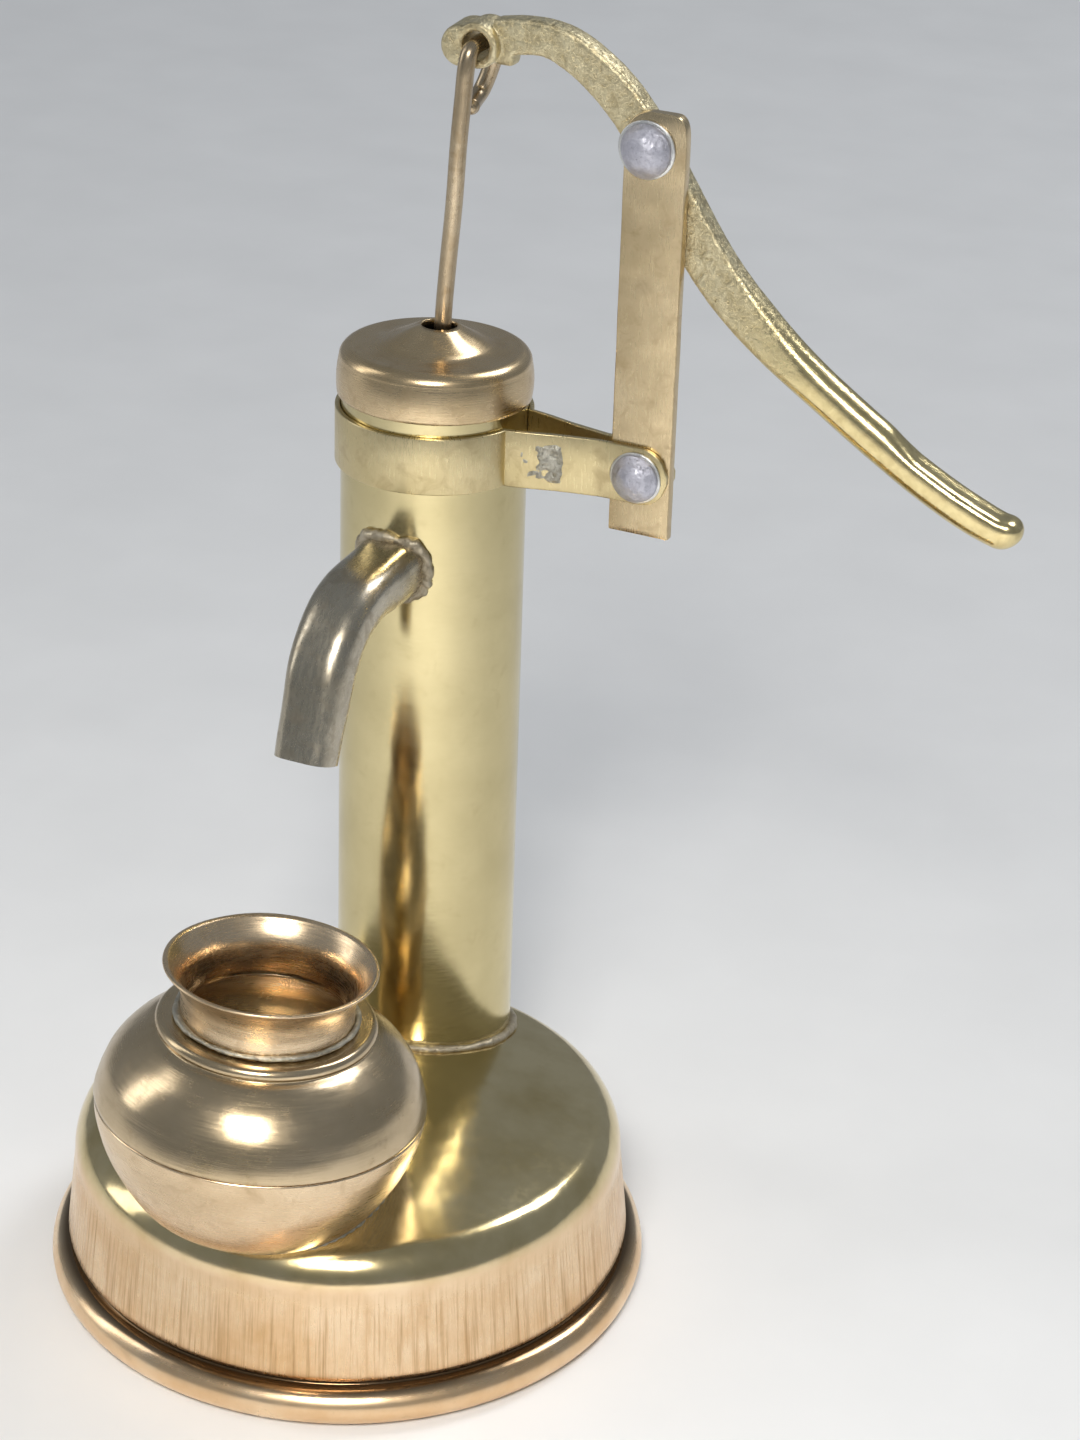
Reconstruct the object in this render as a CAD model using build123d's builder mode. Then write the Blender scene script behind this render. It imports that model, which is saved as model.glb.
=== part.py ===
# Table-top brass hand pump: a lever pump on a round spun base, with a small pot under its spout.
# Frame: origin at the centre of the base on the floor, +Z up, +X from the barrel to the handle,
# -Y from the barrel to the spout and the pot. Millimetres.
import os
from math import cos, radians, sin

from build123d import *

os.makedirs("parts", exist_ok=True)

# ---- driving dimensions ----------------------------------------------------------------------
# base
BASE_LIP_R = 53.1
BASE_GROOVE_R = 50.2
BASE_GROOVE_Z = 6.9
BASE_SKIRT_TOP_R = 48.4
BASE_SKIRT_TOP_Z = 23.6
BASE_CREST_R = 44.2
BASE_CREST_Z = 31.0
BASE_APEX_Z = 36.8
SHEET = 1.0

# barrel
BARREL_Y = 29.3
BARREL_R = 15.875
BORE_R = 14.6
BARREL_BOTTOM_Z = 27.0
BARREL_TOP_Z = 161.0

# clamp band and the arms that hold the link
BAND_Z = 144.0
BAND_H = 10.0
BAND_SHEET = 0.92
BAND_GAP_DEG = 17.0
ARM_END_X = 43.5

# link, rivets and lever
LINK_X = 38.3
LINK_W = 10.7
LINK_T = 2.0
LINK_BOTTOM_Z = 138.2
LINK_TOP_Z = 210.4
LOWER_RIVET = (38.0, 148.8)
PIVOT = (37.0, 204.3)
RIVET_R = 2.0
LEVER_T = 3.6
LEVER_GAP = 0.3
EYE = (6.2, 216.2)
EYE_R = 3.6
EYE_HOLE_R = 2.35
EYE_LEN = 7.0
WIRE_R = 1.45

# cap
CAP_BOTTOM_Z = 155.8
CAP_R = 16.65
CAP_TOP_Z = 168.6
CAP_TILT = radians(2.0)
CAP_HOLE = (1.0, BARREL_Y - 0.8)
CAP_HOLE_R = 3.0

# piston, at the top of its stroke
PIN_Z = 116.0
PIN_R = 1.0
RUNNING = 0.05

# pot
POT_X = -1.6
POT_Y = -32.2
POT_LEAN = radians(4.5)
POT_LEAN_DIR = radians(51.0)
POT_SHEET = 0.9

LEVER_Y = BARREL_Y + LINK_T / 2 + LEVER_GAP + LEVER_T / 2
barrel_plane = Plane(origin=(0, BARREL_Y, 0), x_dir=(1, 0, 0), z_dir=(0, -1, 0))
barrel_axis = Axis((0, BARREL_Y, 0), (0, 0, 1))


def xz_plane(y):
    """Upright plane facing -Y: sketch x is X and sketch y is Z."""
    return Plane(origin=(0, y, 0), x_dir=(1, 0, 0), z_dir=(0, -1, 0))


def cap_point(rim_r, rim_z, top_z, r):
    """Point at radius r on the shallow sphere through the rim circle and the pole at top_z."""
    rise = top_z - rim_z
    ball = (rim_r**2 + rise**2) / (2 * rise)
    return (r, top_z - ball + (ball**2 - r**2) ** 0.5)


def save(part, name):
    part.part.label = name
    export_step(part.part, f"parts/{name}.step")


# ---- base --------------------------------------------------------------------------------------
DOME_MID = cap_point(BASE_CREST_R, BASE_CREST_Z, BASE_APEX_Z, 24.0)
DOME_MID_IN = cap_point(43.7, 30.1, BASE_APEX_Z - SHEET, 24.0)

with BuildPart() as base_shell:
    with BuildSketch(Plane.XZ):
        with BuildLine():
            Line((49.3, 0), (50.4, 0))
            ThreePointArc((50.4, 0), (BASE_LIP_R, 3.4), (50.6, 6.6))
            Line((50.6, 6.6), (BASE_GROOVE_R, BASE_GROOVE_Z + 0.3))
            Line((BASE_GROOVE_R, BASE_GROOVE_Z + 0.3), (BASE_SKIRT_TOP_R, BASE_SKIRT_TOP_Z))
            ThreePointArc((BASE_SKIRT_TOP_R, BASE_SKIRT_TOP_Z), (47.5, 27.8), (BASE_CREST_R, BASE_CREST_Z))
            ThreePointArc((BASE_CREST_R, BASE_CREST_Z), DOME_MID, (0, BASE_APEX_Z))
            Line((0, BASE_APEX_Z), (0, BASE_APEX_Z - SHEET))
            ThreePointArc((0, BASE_APEX_Z - SHEET), DOME_MID_IN, (43.7, 30.1))
            ThreePointArc((43.7, 30.1), (46.5, 27.4), (47.4, BASE_SKIRT_TOP_Z))
            Line((47.4, BASE_SKIRT_TOP_Z), (49.2, BASE_GROOVE_Z + 0.3))
            Line((49.2, BASE_GROOVE_Z + 0.3), (49.3, 0))
        make_face()
    revolve(axis=Axis.Z)
    with BuildSketch(Plane.XY.offset(BARREL_BOTTOM_Z - 1)):
        with Locations((0, BARREL_Y)):
            Circle(BARREL_R + 0.02)
    extrude(amount=14, mode=Mode.SUBTRACT)

# everything inside the base's outer surface, for trimming what stands on the dome
with BuildPart() as base_envelope:
    with BuildSketch(Plane.XZ):
        with BuildLine():
            Line((0, 0), (BASE_SKIRT_TOP_R, 0))
            Line((BASE_SKIRT_TOP_R, 0), (BASE_SKIRT_TOP_R, BASE_SKIRT_TOP_Z))
            ThreePointArc((BASE_SKIRT_TOP_R, BASE_SKIRT_TOP_Z), (47.5, 27.8), (BASE_CREST_R, BASE_CREST_Z))
            ThreePointArc((BASE_CREST_R, BASE_CREST_Z), DOME_MID, (0, BASE_APEX_Z))
            Line((0, BASE_APEX_Z), (0, 0))
        make_face()
    revolve(axis=Axis.Z)

with BuildPart() as base_plate:
    with BuildSketch(Plane.XY):
        Circle(49.6)
    extrude(amount=1.2)
    add(base_shell.part, mode=Mode.SUBTRACT)

# ---- barrel ------------------------------------------------------------------------------------
SPOUT_Z = 130.0
SPOUT_WALL = 0.9
SPOUT_TIP = (45.5, 107.0)
SPOUT_TURN = radians(70)
SPOUT_BEND_R = 16.0
spout_knee = (SPOUT_TIP[0] - (SPOUT_Z - SPOUT_TIP[1]) * cos(SPOUT_TURN) / sin(SPOUT_TURN), SPOUT_Z)
with BuildLine(Plane(origin=(0, BARREL_Y, 0), x_dir=(0, -1, 0), z_dir=(-1, 0, 0))) as spout_path:
    FilletPolyline((9, SPOUT_Z), spout_knee, SPOUT_TIP, radius=SPOUT_BEND_R)
spout_wire = spout_path.wires()[0]
SPOUT_STATIONS = (0, 0.12, 0.32, 0.5, 0.68, 0.84, 1)


def spout_section(t, wall):
    """Rounded rectangle across the spout's path, tapering from root to tip."""
    width = 12.7 - 2.1 * t - 2 * wall
    depth = 10.5 - 2.5 * t - 2 * wall
    corner = min(width, depth) * 0.38
    plane = Plane(origin=spout_wire @ t, x_dir=(1, 0, 0), z_dir=spout_wire % t)
    with BuildSketch(plane) as section:
        RectangleRounded(width, depth, corner)
    return section.sketch


with BuildPart() as spout_outer:
    for t in SPOUT_STATIONS:
        add(spout_section(t, 0))
    loft()

with BuildPart() as spout_inner:
    for t in SPOUT_STATIONS:
        add(spout_section(t, SPOUT_WALL))
    loft()
    mouth = spout_inner.faces().sort_by(Axis.Z)[0]
    extrude(mouth, amount=1.0)

with BuildPart() as barrel_tube:
    with BuildSketch(Plane.XY.offset(BARREL_BOTTOM_Z)):
        with Locations((0, BARREL_Y)):
            Circle(BARREL_R)
            Circle(BORE_R, mode=Mode.SUBTRACT)
    extrude(amount=BARREL_TOP_Z - BARREL_BOTTOM_Z)
    add(spout_inner.part, mode=Mode.SUBTRACT)

with BuildPart() as barrel_solid:
    with BuildSketch(Plane.XY.offset(BARREL_BOTTOM_Z)):
        with Locations((0, BARREL_Y)):
            Circle(BARREL_R)
    extrude(amount=BARREL_TOP_Z - BARREL_BOTTOM_Z)

# the dome falls away under the barrel, so the solder bead lies in a tilted plane
FOOT_TILT = radians(9.9)
foot_plane = Plane(origin=(0, BARREL_Y, 33.7), x_dir=(1, 0, 0), z_dir=(0, sin(FOOT_TILT), cos(FOOT_TILT)))
with BuildPart() as barrel_foot_solder:
    with BuildSketch(Plane(origin=foot_plane.origin, x_dir=(1, 0, 0), z_dir=foot_plane.y_dir * -1)):
        with Locations((BARREL_R + 0.5, 0)):
            Circle(1.5)
    revolve(axis=Axis(foot_plane.origin, foot_plane.z_dir))
    add(barrel_solid.part, mode=Mode.SUBTRACT)
    add(base_envelope.part, mode=Mode.SUBTRACT)

with BuildPart() as spout:
    add(spout_outer.part)
    add(spout_inner.part, mode=Mode.SUBTRACT)
    add(barrel_solid.part, mode=Mode.SUBTRACT)

with BuildPart() as spout_solder:
    with BuildSketch(Plane(origin=(0, BARREL_Y - 12, SPOUT_Z), x_dir=(1, 0, 0), z_dir=(0, -1, 0))):
        RectangleRounded(17.6, 15.0, 6.0)
    extrude(amount=5.6, taper=14)
    add(barrel_solid.part, mode=Mode.SUBTRACT)
    add(spout_outer.part, mode=Mode.SUBTRACT)
    add(spout_inner.part, mode=Mode.SUBTRACT)

# ---- cap ---------------------------------------------------------------------------------------
# The pressed cap sits a little crooked: its front edge stands higher than its back edge.
cap_up = Vector(0, sin(CAP_TILT), cos(CAP_TILT))
cap_out = Vector(0, -cos(CAP_TILT), sin(CAP_TILT))
cap_origin = Vector(0, BARREL_Y, 159.0) - cap_up * 159.0
CAP_IN_R = BARREL_R + 0.2

with BuildPart() as cap:
    with BuildSketch(Plane(origin=cap_origin, x_dir=cap_out, z_dir=cap_out.cross(cap_up))):
        with BuildLine():
            Line((CAP_IN_R, CAP_BOTTOM_Z), (CAP_R - 0.2, CAP_BOTTOM_Z))
            ThreePointArc((CAP_R - 0.2, CAP_BOTTOM_Z), (CAP_R, 159.4), (CAP_R - 0.4, 162.3))
            ThreePointArc((CAP_R - 0.4, 162.3), (15.5, 163.7), (13.9, 164.3))
            Line((13.9, 164.3), (9.8, 164.6))
            Line((9.8, 164.6), (9.0, 164.9))
            Line((9.0, 164.9), (1.6, CAP_TOP_Z + 0.9))
            Line((1.6, CAP_TOP_Z + 0.9), (0, CAP_TOP_Z + 0.9))
            Line((0, CAP_TOP_Z + 0.9), (0, CAP_TOP_Z - 0.3))
            Line((0, CAP_TOP_Z - 0.3), (8.6, 164.1))
            Line((8.6, 164.1), (14.0, 163.3))
            Line((14.0, 163.3), (CAP_IN_R, 162.6))
            Line((CAP_IN_R, 162.6), (CAP_IN_R, CAP_BOTTOM_Z))
        make_face()
    revolve(axis=Axis(cap_origin, cap_up))
    with BuildSketch(Plane.XY.offset(BARREL_TOP_Z)):
        with Locations(CAP_HOLE):
            Circle(CAP_HOLE_R)
    extrude(amount=14, mode=Mode.SUBTRACT)

# solder that fills the gap between the crooked cap and the barrel
with BuildPart() as cap_solder:
    with BuildSketch(Plane(origin=cap_origin, x_dir=cap_out, z_dir=cap_out.cross(cap_up))):
        with BuildLine():
            Polyline(
                (BARREL_R - 1.0, CAP_BOTTOM_Z + 0.3),
                (CAP_IN_R, CAP_BOTTOM_Z + 0.3),
                (CAP_IN_R, CAP_BOTTOM_Z + 3.6),
                (BARREL_R - 1.0, CAP_BOTTOM_Z + 3.6),
                close=True,
            )
        make_face()
    revolve(axis=Axis(cap_origin, cap_up))
    add(barrel_solid.part, mode=Mode.SUBTRACT)

# ---- clamp band, link and rivets -----------------------------------------------------------------
BAND_R = BARREL_R + 0.03
BAND_OUT = BAND_R + BAND_SHEET
ARM_IN = LINK_T / 2 + 0.02
ARM_OUT = ARM_IN + BAND_SHEET
gap = radians(BAND_GAP_DEG)
ARM_BEND_X = 31.0

with BuildPart() as clamp_band:
    with BuildSketch(Plane.XY.offset(BAND_Z)):
        with Locations((0, BARREL_Y)):
            Circle(BAND_OUT)
            Circle(BAND_R, mode=Mode.SUBTRACT)
            with BuildLine():
                Polyline((0, 0), (30 * cos(gap), -30 * sin(gap)), (30 * cos(gap), 30 * sin(gap)), (0, 0))
            make_face(mode=Mode.SUBTRACT)
        for side in (-1, 1):
            inner = (BAND_R * cos(gap), BARREL_Y + side * BAND_R * sin(gap))
            outer = (BAND_OUT * cos(gap), BARREL_Y + side * BAND_OUT * sin(gap))
            with BuildLine():
                Polyline(
                    inner,
                    (ARM_BEND_X, BARREL_Y + side * ARM_IN),
                    (ARM_END_X, BARREL_Y + side * ARM_IN),
                    (ARM_END_X, BARREL_Y + side * ARM_OUT),
                    (ARM_BEND_X, BARREL_Y + side * ARM_OUT),
                    outer,
                    inner,
                )
            make_face()
    extrude(amount=BAND_H)
    arm_ends = clamp_band.edges().filter_by(Axis.Y).group_by(Axis.X)[-1]
    fillet(arm_ends, radius=4.8)
    with BuildSketch(xz_plane(BARREL_Y - 6)):
        with Locations(LOWER_RIVET):
            Circle(RIVET_R + 0.02)
    extrude(amount=-12, mode=Mode.SUBTRACT)

ARM_SLOPE = (BAND_OUT * sin(gap) - ARM_OUT) / (ARM_BEND_X - BAND_OUT * cos(gap))


def arm_face_y(x):
    """Y of the near arm's outer face between the band and the link."""
    return BARREL_Y - ARM_OUT - ARM_SLOPE * (ARM_BEND_X - x)


PATCH_X = (17.2, 26.0)
with BuildPart() as clamp_solder:
    with BuildSketch(Plane.XY.offset(BAND_Z + 0.4)):
        with BuildLine():
            Polyline(
                (PATCH_X[0], arm_face_y(PATCH_X[0]) - 0.02),
                (PATCH_X[1], arm_face_y(PATCH_X[1]) - 0.02),
                (PATCH_X[1], arm_face_y(PATCH_X[1]) - 0.5),
                (PATCH_X[0] + 3, arm_face_y(PATCH_X[0] + 3) - 0.9),
                (PATCH_X[0], arm_face_y(PATCH_X[0]) - 0.6),
                (PATCH_X[0], arm_face_y(PATCH_X[0]) - 0.02),
            )
        make_face()
    extrude(amount=BAND_H - 1.6)

with BuildPart() as link:
    with BuildSketch(xz_plane(BARREL_Y - LINK_T / 2)) as link_outline:
        with Locations((LINK_X, (LINK_BOTTOM_Z + LINK_TOP_Z) / 2)):
            Rectangle(LINK_W, LINK_TOP_Z - LINK_BOTTOM_Z)
        top_corners = link_outline.vertices().group_by(Axis.Z)[-1].sort_by(Axis.X)
        fillet(top_corners[0], radius=4.2)
        fillet(link_outline.vertices().group_by(Axis.Z)[-1].sort_by(Axis.X)[-1], radius=1.6)
        with Locations(LOWER_RIVET, PIVOT):
            Circle(RIVET_R + 0.02, mode=Mode.SUBTRACT)
    extrude(amount=-LINK_T)


def rivet(center, front_y, back_y, head_r, head_h, washer_t):
    """Shank along Y with a domed head in front (-Y) and a smaller formed head behind."""
    seat_y = front_y - washer_t
    tail_r = head_r * 0.82
    tail_h = 1.9
    rim = 0.35
    head_mid = cap_point(head_r, rim, head_h, head_r * 0.6)
    tail_mid = cap_point(tail_r, rim, tail_h, tail_r * 0.6)
    with BuildPart() as piece:
        with BuildSketch(Plane(origin=(center[0], 0, center[1]), x_dir=(0, 1, 0), z_dir=(0, 0, -1))):
            with BuildLine():
                ThreePointArc((seat_y - head_h, 0), (seat_y - head_mid[1], head_mid[0]), (seat_y - rim, head_r))
                Polyline(
                    (seat_y - rim, head_r),
                    (seat_y, head_r),
                    (seat_y, RIVET_R),
                    (back_y, RIVET_R),
                    (back_y, tail_r),
                    (back_y + rim, tail_r),
                )
                ThreePointArc((back_y + rim, tail_r), (back_y + tail_mid[1], tail_mid[0]), (back_y + tail_h, 0))
                Line((back_y + tail_h, 0), (seat_y - head_h, 0))
            make_face()
        revolve(axis=Axis((center[0], 0, center[1]), (0, 1, 0)))
    return piece


def washer(center, front_y, thickness, radius):
    """Flat washer under a rivet head."""
    with BuildPart() as piece:
        with BuildSketch(xz_plane(front_y)):
            with Locations(center):
                Circle(radius)
                Circle(RIVET_R + 0.02, mode=Mode.SUBTRACT)
        extrude(amount=thickness)
    return piece


WASHER_T = 0.5
lower_front_y = BARREL_Y - ARM_OUT
lower_back_y = BARREL_Y + ARM_OUT
upper_front_y = BARREL_Y - LINK_T / 2
upper_back_y = LEVER_Y + LEVER_T / 2 + LEVER_GAP
lower_rivet = rivet(LOWER_RIVET, lower_front_y, lower_back_y, 4.3, 2.7, WASHER_T)
upper_rivet = rivet(PIVOT, upper_front_y, upper_back_y, 4.6, 3.2, WASHER_T)
lower_rivet_washer = washer(LOWER_RIVET, lower_front_y, WASHER_T, 4.6)
upper_rivet_washer = washer(PIVOT, upper_front_y, WASHER_T, 5.0)

# ---- lever ---------------------------------------------------------------------------------------
GRIP_START = (56.5, 176.6)
GRIP_MID = (78.0, 161.5)
GRIP_END = (100.9, 150.2)
GRIP_R = 2.9

# rounded lump of casting behind and beside the eye
LUMP = (3.3, 215.7)
with BuildPart() as eye_lump:
    with BuildSketch(Plane(origin=(LUMP[0], LEVER_Y, LUMP[1]), x_dir=(-1, 0, 0), z_dir=(0, 0, 1))):
        with BuildLine():
            Line((0, -EYE_LEN / 2), (0, EYE_LEN / 2))
            Line((0, EYE_LEN / 2), (3.1, EYE_LEN / 2))
            ThreePointArc((3.1, EYE_LEN / 2), (4.25, 0.2), (2.9, -EYE_LEN / 2))
            Line((2.9, -EYE_LEN / 2), (0, -EYE_LEN / 2))
        make_face()
    revolve(axis=Axis((LUMP[0], LEVER_Y, LUMP[1]), (0, 1, 0)))

with BuildPart() as lever:
    # flat cast arm from the eye over the pivot to the start of the grip
    with BuildSketch(xz_plane(LEVER_Y - LEVER_T / 2)):
        with BuildLine():
            Spline((EYE[0], 219.8), (13.5, 221.3), (23.5, 219.9), (33.0, 213.2), (43.0, 199.0), (50.8, 187.2), (60.5, 177.0))
            Line((60.5, 177.0), (55.6, 172.6))
            Spline((55.6, 172.6), (46.9, 180.6), (39.0, 192.0), (31.0, 205.2), (23.6, 212.0), (16.5, 215.4), (EYE[0], 213.2))
            Line((EYE[0], 213.2), (EYE[0], 219.8))
        make_face()
    extrude(amount=-LEVER_T)
    # round grip that thins towards a blunt end
    with BuildLine() as grip_line:
        ThreePointArc(
            (GRIP_START[0], LEVER_Y, GRIP_START[1]),
            (GRIP_MID[0], LEVER_Y, GRIP_MID[1]),
            (GRIP_END[0], LEVER_Y, GRIP_END[1]),
        )
    with BuildSketch(Plane(origin=grip_line.line @ 0, x_dir=(0, 1, 0), z_dir=grip_line.line % 0)):
        Ellipse(GRIP_R, GRIP_R)
    sweep(path=grip_line.line)
    with BuildSketch(Plane(origin=(GRIP_END[0], LEVER_Y, GRIP_END[1]), x_dir=(0, 1, 0), z_dir=(grip_line.line % 1))):
        Circle(GRIP_R)
    extrude(amount=3.0, taper=20)
    # eye boss
    with BuildSketch(xz_plane(LEVER_Y - EYE_LEN / 2)):
        with Locations(EYE):
            Circle(EYE_R)
    extrude(amount=-EYE_LEN)
    add(eye_lump.part)
    with BuildSketch(xz_plane(LEVER_Y - EYE_LEN)):
        with Locations(EYE):
            Circle(EYE_HOLE_R)
    extrude(amount=-2 * EYE_LEN, mode=Mode.SUBTRACT)
    # pivot bore, running on the upper rivet
    with BuildSketch(xz_plane(LEVER_Y - EYE_LEN)):
        with Locations(PIVOT):
            Circle(RIVET_R + RUNNING)
    extrude(amount=-2 * EYE_LEN, mode=Mode.SUBTRACT)

# ---- pump rod ------------------------------------------------------------------------------------
ROD_Y_FRONT = LEVER_Y - EYE_LEN / 2 - 0.45 - WIRE_R
ROD_Y_BACK = LEVER_Y + EYE_LEN / 2 + 0.45 + WIRE_R
ROD_RING_X = 0.55
RING_R = PIN_R + 1.7 + WIRE_R
rod_points = [
    (ROD_RING_X, BARREL_Y, PIN_Z + RING_R),
    (0.9, BARREL_Y - 0.1, 152.0),
    (1.5, BARREL_Y - 0.6, CAP_TOP_Z),
    (4.7, ROD_Y_FRONT, 203.0),
    (5.7, ROD_Y_FRONT, EYE[1]),
    (6.5, ROD_Y_BACK, EYE[1]),
    (3.4, ROD_Y_BACK, EYE[1] - 10.4),
    (5.2, ROD_Y_FRONT + 3.3, EYE[1] - 10.9),
]
with BuildPart() as pump_rod:
    with BuildLine() as rod_line:
        FilletPolyline(*rod_points, radius=[40, 60, 12, 2.1, 2.1, 2.1])
    with BuildSketch(Plane(origin=rod_points[0], x_dir=(1, 0, 0), z_dir=rod_line.wires()[0] % 0)):
        Circle(WIRE_R)
    sweep(path=rod_line.wires()[0], transition=Transition.ROUND)
    with BuildSketch(Plane(origin=(ROD_RING_X, BARREL_Y, PIN_Z), x_dir=(1, 0, 0), z_dir=(0, 0, 1))):
        with Locations((RING_R, 0)):
            Circle(WIRE_R)
    revolve(axis=Axis((ROD_RING_X, BARREL_Y, PIN_Z), (0, 1, 0)))

# ---- piston --------------------------------------------------------------------------------------
DISC_TOP_Z = 106.0
DISC_T = 2.2
EAR_T = 1.6
EAR_GAP = 2 * WIRE_R + 1.2
CUP_H = 7.0
VALVE_R = 5.0
PORT_R = 3.6

with BuildPart() as piston_yoke:
    with BuildSketch(Plane.XY.offset(DISC_TOP_Z - DISC_T)):
        with Locations((0, BARREL_Y)):
            Circle(BORE_R - 0.5)
            with PolarLocations(9.6, 6):
                Circle(1.7, mode=Mode.SUBTRACT)
            Circle(3.0, mode=Mode.SUBTRACT)
    extrude(amount=DISC_T)
    for side in (-1, 1):
        ear_y = BARREL_Y + side * (EAR_GAP / 2 + EAR_T / 2)
        with BuildSketch(xz_plane(ear_y - EAR_T / 2)):
            with Locations((0, (DISC_TOP_Z + PIN_Z) / 2)):
                Rectangle(6.4, PIN_Z - DISC_TOP_Z)
            with Locations((0, PIN_Z)):
                Circle(3.2)
                Circle(PIN_R + 0.02, mode=Mode.SUBTRACT)
        extrude(amount=-EAR_T)

with BuildPart() as piston_pin:
    with BuildSketch(xz_plane(BARREL_Y - EAR_GAP / 2 - EAR_T - 0.6)):
        with Locations((0, PIN_Z)):
            Circle(PIN_R)
    extrude(amount=-(EAR_GAP + 2 * EAR_T + 1.2))

with BuildPart() as piston_cup:
    with BuildSketch(Plane(origin=(0, BARREL_Y, 0), x_dir=(1, 0, 0), z_dir=(0, -1, 0))):
        with BuildLine():
            cup_bottom = DISC_TOP_Z - DISC_T - 2.0
            Polyline(
                (3.2, cup_bottom),
                (BORE_R - 1.4, cup_bottom),
                (BORE_R - RUNNING, cup_bottom + 1.4),
                (BORE_R - RUNNING, cup_bottom + CUP_H),
                (BORE_R - 0.45, cup_bottom + CUP_H),
                (BORE_R - 0.45, cup_bottom + 2.0),
                (3.2, cup_bottom + 2.0),
                (3.2, cup_bottom),
            )
        make_face()
    revolve(axis=barrel_axis)
    with BuildSketch(Plane.XY.offset(cup_bottom - 1)):
        with Locations((0, BARREL_Y)):
            with PolarLocations(9.6, 6):
                Circle(1.7)
    extrude(amount=4, mode=Mode.SUBTRACT)

FOLLOWER_T = 1.4
follower_bottom = DISC_TOP_Z - DISC_T - 2.0 - FOLLOWER_T
with BuildPart() as piston_follower:
    with BuildSketch(Plane.XY.offset(follower_bottom)):
        with Locations((0, BARREL_Y)):
            Circle(12.6)
            with PolarLocations(9.6, 6):
                Circle(1.7, mode=Mode.SUBTRACT)
            Circle(3.02, mode=Mode.SUBTRACT)
    extrude(amount=FOLLOWER_T)

STUD_R = 3.0
NUT_T = 3.0
with BuildPart() as piston_stud:
    with BuildSketch(Plane.XY.offset(follower_bottom - NUT_T - 0.8)):
        with Locations((0, BARREL_Y)):
            Circle(STUD_R - 0.02)
    extrude(amount=DISC_TOP_Z - follower_bottom + NUT_T + 0.8)

with BuildPart() as piston_nut:
    with BuildSketch(Plane.XY.offset(follower_bottom - NUT_T)):
        with Locations((0, BARREL_Y)):
            RegularPolygon(5.2, 6)
            Circle(STUD_R, mode=Mode.SUBTRACT)
    extrude(amount=NUT_T)

# ring flap that covers the ports from above and lifts on the down stroke
FLAP_T = 0.9
with BuildPart() as piston_valve:
    with BuildSketch(Plane.XY.offset(DISC_TOP_Z + 0.05)):
        with Locations((0, BARREL_Y)):
            Circle(12.4)
            Circle(5.9, mode=Mode.SUBTRACT)
    extrude(amount=FLAP_T)

# ---- foot valve and suction tube -------------------------------------------------------------------
SEAT_BOTTOM_Z = 40.0
SEAT_TOP_Z = 44.0
SEAT_R = 4.0
BALL_R = 5.5
BALL_Z = SEAT_TOP_Z + (BALL_R**2 - SEAT_R**2) ** 0.5 + 0.06
CAGE_IN_R = 6.2
CAGE_TOP_Z = 58.6
SUCTION_BOTTOM_Z = 6.0

with BuildPart() as foot_valve_seat:
    with BuildSketch(Plane.XY.offset(SEAT_BOTTOM_Z)):
        with Locations((0, BARREL_Y)):
            Circle(BORE_R - 0.02)
            Circle(SEAT_R, mode=Mode.SUBTRACT)
    extrude(amount=SEAT_TOP_Z - SEAT_BOTTOM_Z)

with BuildPart() as foot_valve_cage:
    with BuildSketch(Plane.XY.offset(SEAT_TOP_Z)):
        with Locations((0, BARREL_Y)):
            Circle(CAGE_IN_R + 3.0)
            Circle(CAGE_IN_R, mode=Mode.SUBTRACT)
    extrude(amount=1.2)
    with BuildSketch(Plane.XY.offset(SEAT_TOP_Z + 1.2)):
        with Locations((0, BARREL_Y)):
            with PolarLocations(CAGE_IN_R + 0.6, 4):
                Rectangle(1.2, 2.2)
    extrude(amount=CAGE_TOP_Z - SEAT_TOP_Z - 2.4)
    with BuildSketch(Plane.XY.offset(CAGE_TOP_Z - 1.2)):
        with Locations((0, BARREL_Y)):
            Circle(CAGE_IN_R + 1.2)
            Circle(3.6, mode=Mode.SUBTRACT)
    extrude(amount=1.2)

with BuildPart() as foot_valve_ball:
    with BuildSketch(xz_plane(BARREL_Y)):
        with BuildLine():
            ThreePointArc((0, BALL_Z - BALL_R), (BALL_R, BALL_Z), (0, BALL_Z + BALL_R))
            Line((0, BALL_Z + BALL_R), (0, BALL_Z - BALL_R))
        make_face()
    revolve(axis=barrel_axis)

with BuildPart() as suction_tube:
    with BuildSketch(Plane.XY.offset(SUCTION_BOTTOM_Z)):
        with Locations((0, BARREL_Y)):
            Circle(SEAT_R + 1.0)
            Circle(SEAT_R, mode=Mode.SUBTRACT)
    extrude(amount=SEAT_BOTTOM_Z - SUCTION_BOTTOM_Z)

# ---- pot -----------------------------------------------------------------------------------------
# The pot leans a little. Its profiles are drawn in an upright plane through its own axis, with
# sketch y measured along that axis from floor level.
lean_dir = Vector(cos(POT_LEAN_DIR), sin(POT_LEAN_DIR), 0)
pot_up = lean_dir * sin(POT_LEAN) + Vector(0, 0, 1) * cos(POT_LEAN)
pot_side = lean_dir * cos(POT_LEAN) - Vector(0, 0, 1) * sin(POT_LEAN)
POT_FLOOR = 30.0
pot_origin = Vector(POT_X, POT_Y, POT_FLOOR) - pot_up * POT_FLOOR
pot_plane = Plane(origin=pot_origin, x_dir=pot_side, z_dir=pot_side.cross(pot_up))
pot_axis = Axis(pot_origin, pot_up)
POT_SEAM = (28.0, 50.2)
POT_COLLAR_Z = 65.9
NECK_R = 14.6
RIM_R = 17.9
RIM_Z = 75.8

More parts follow.
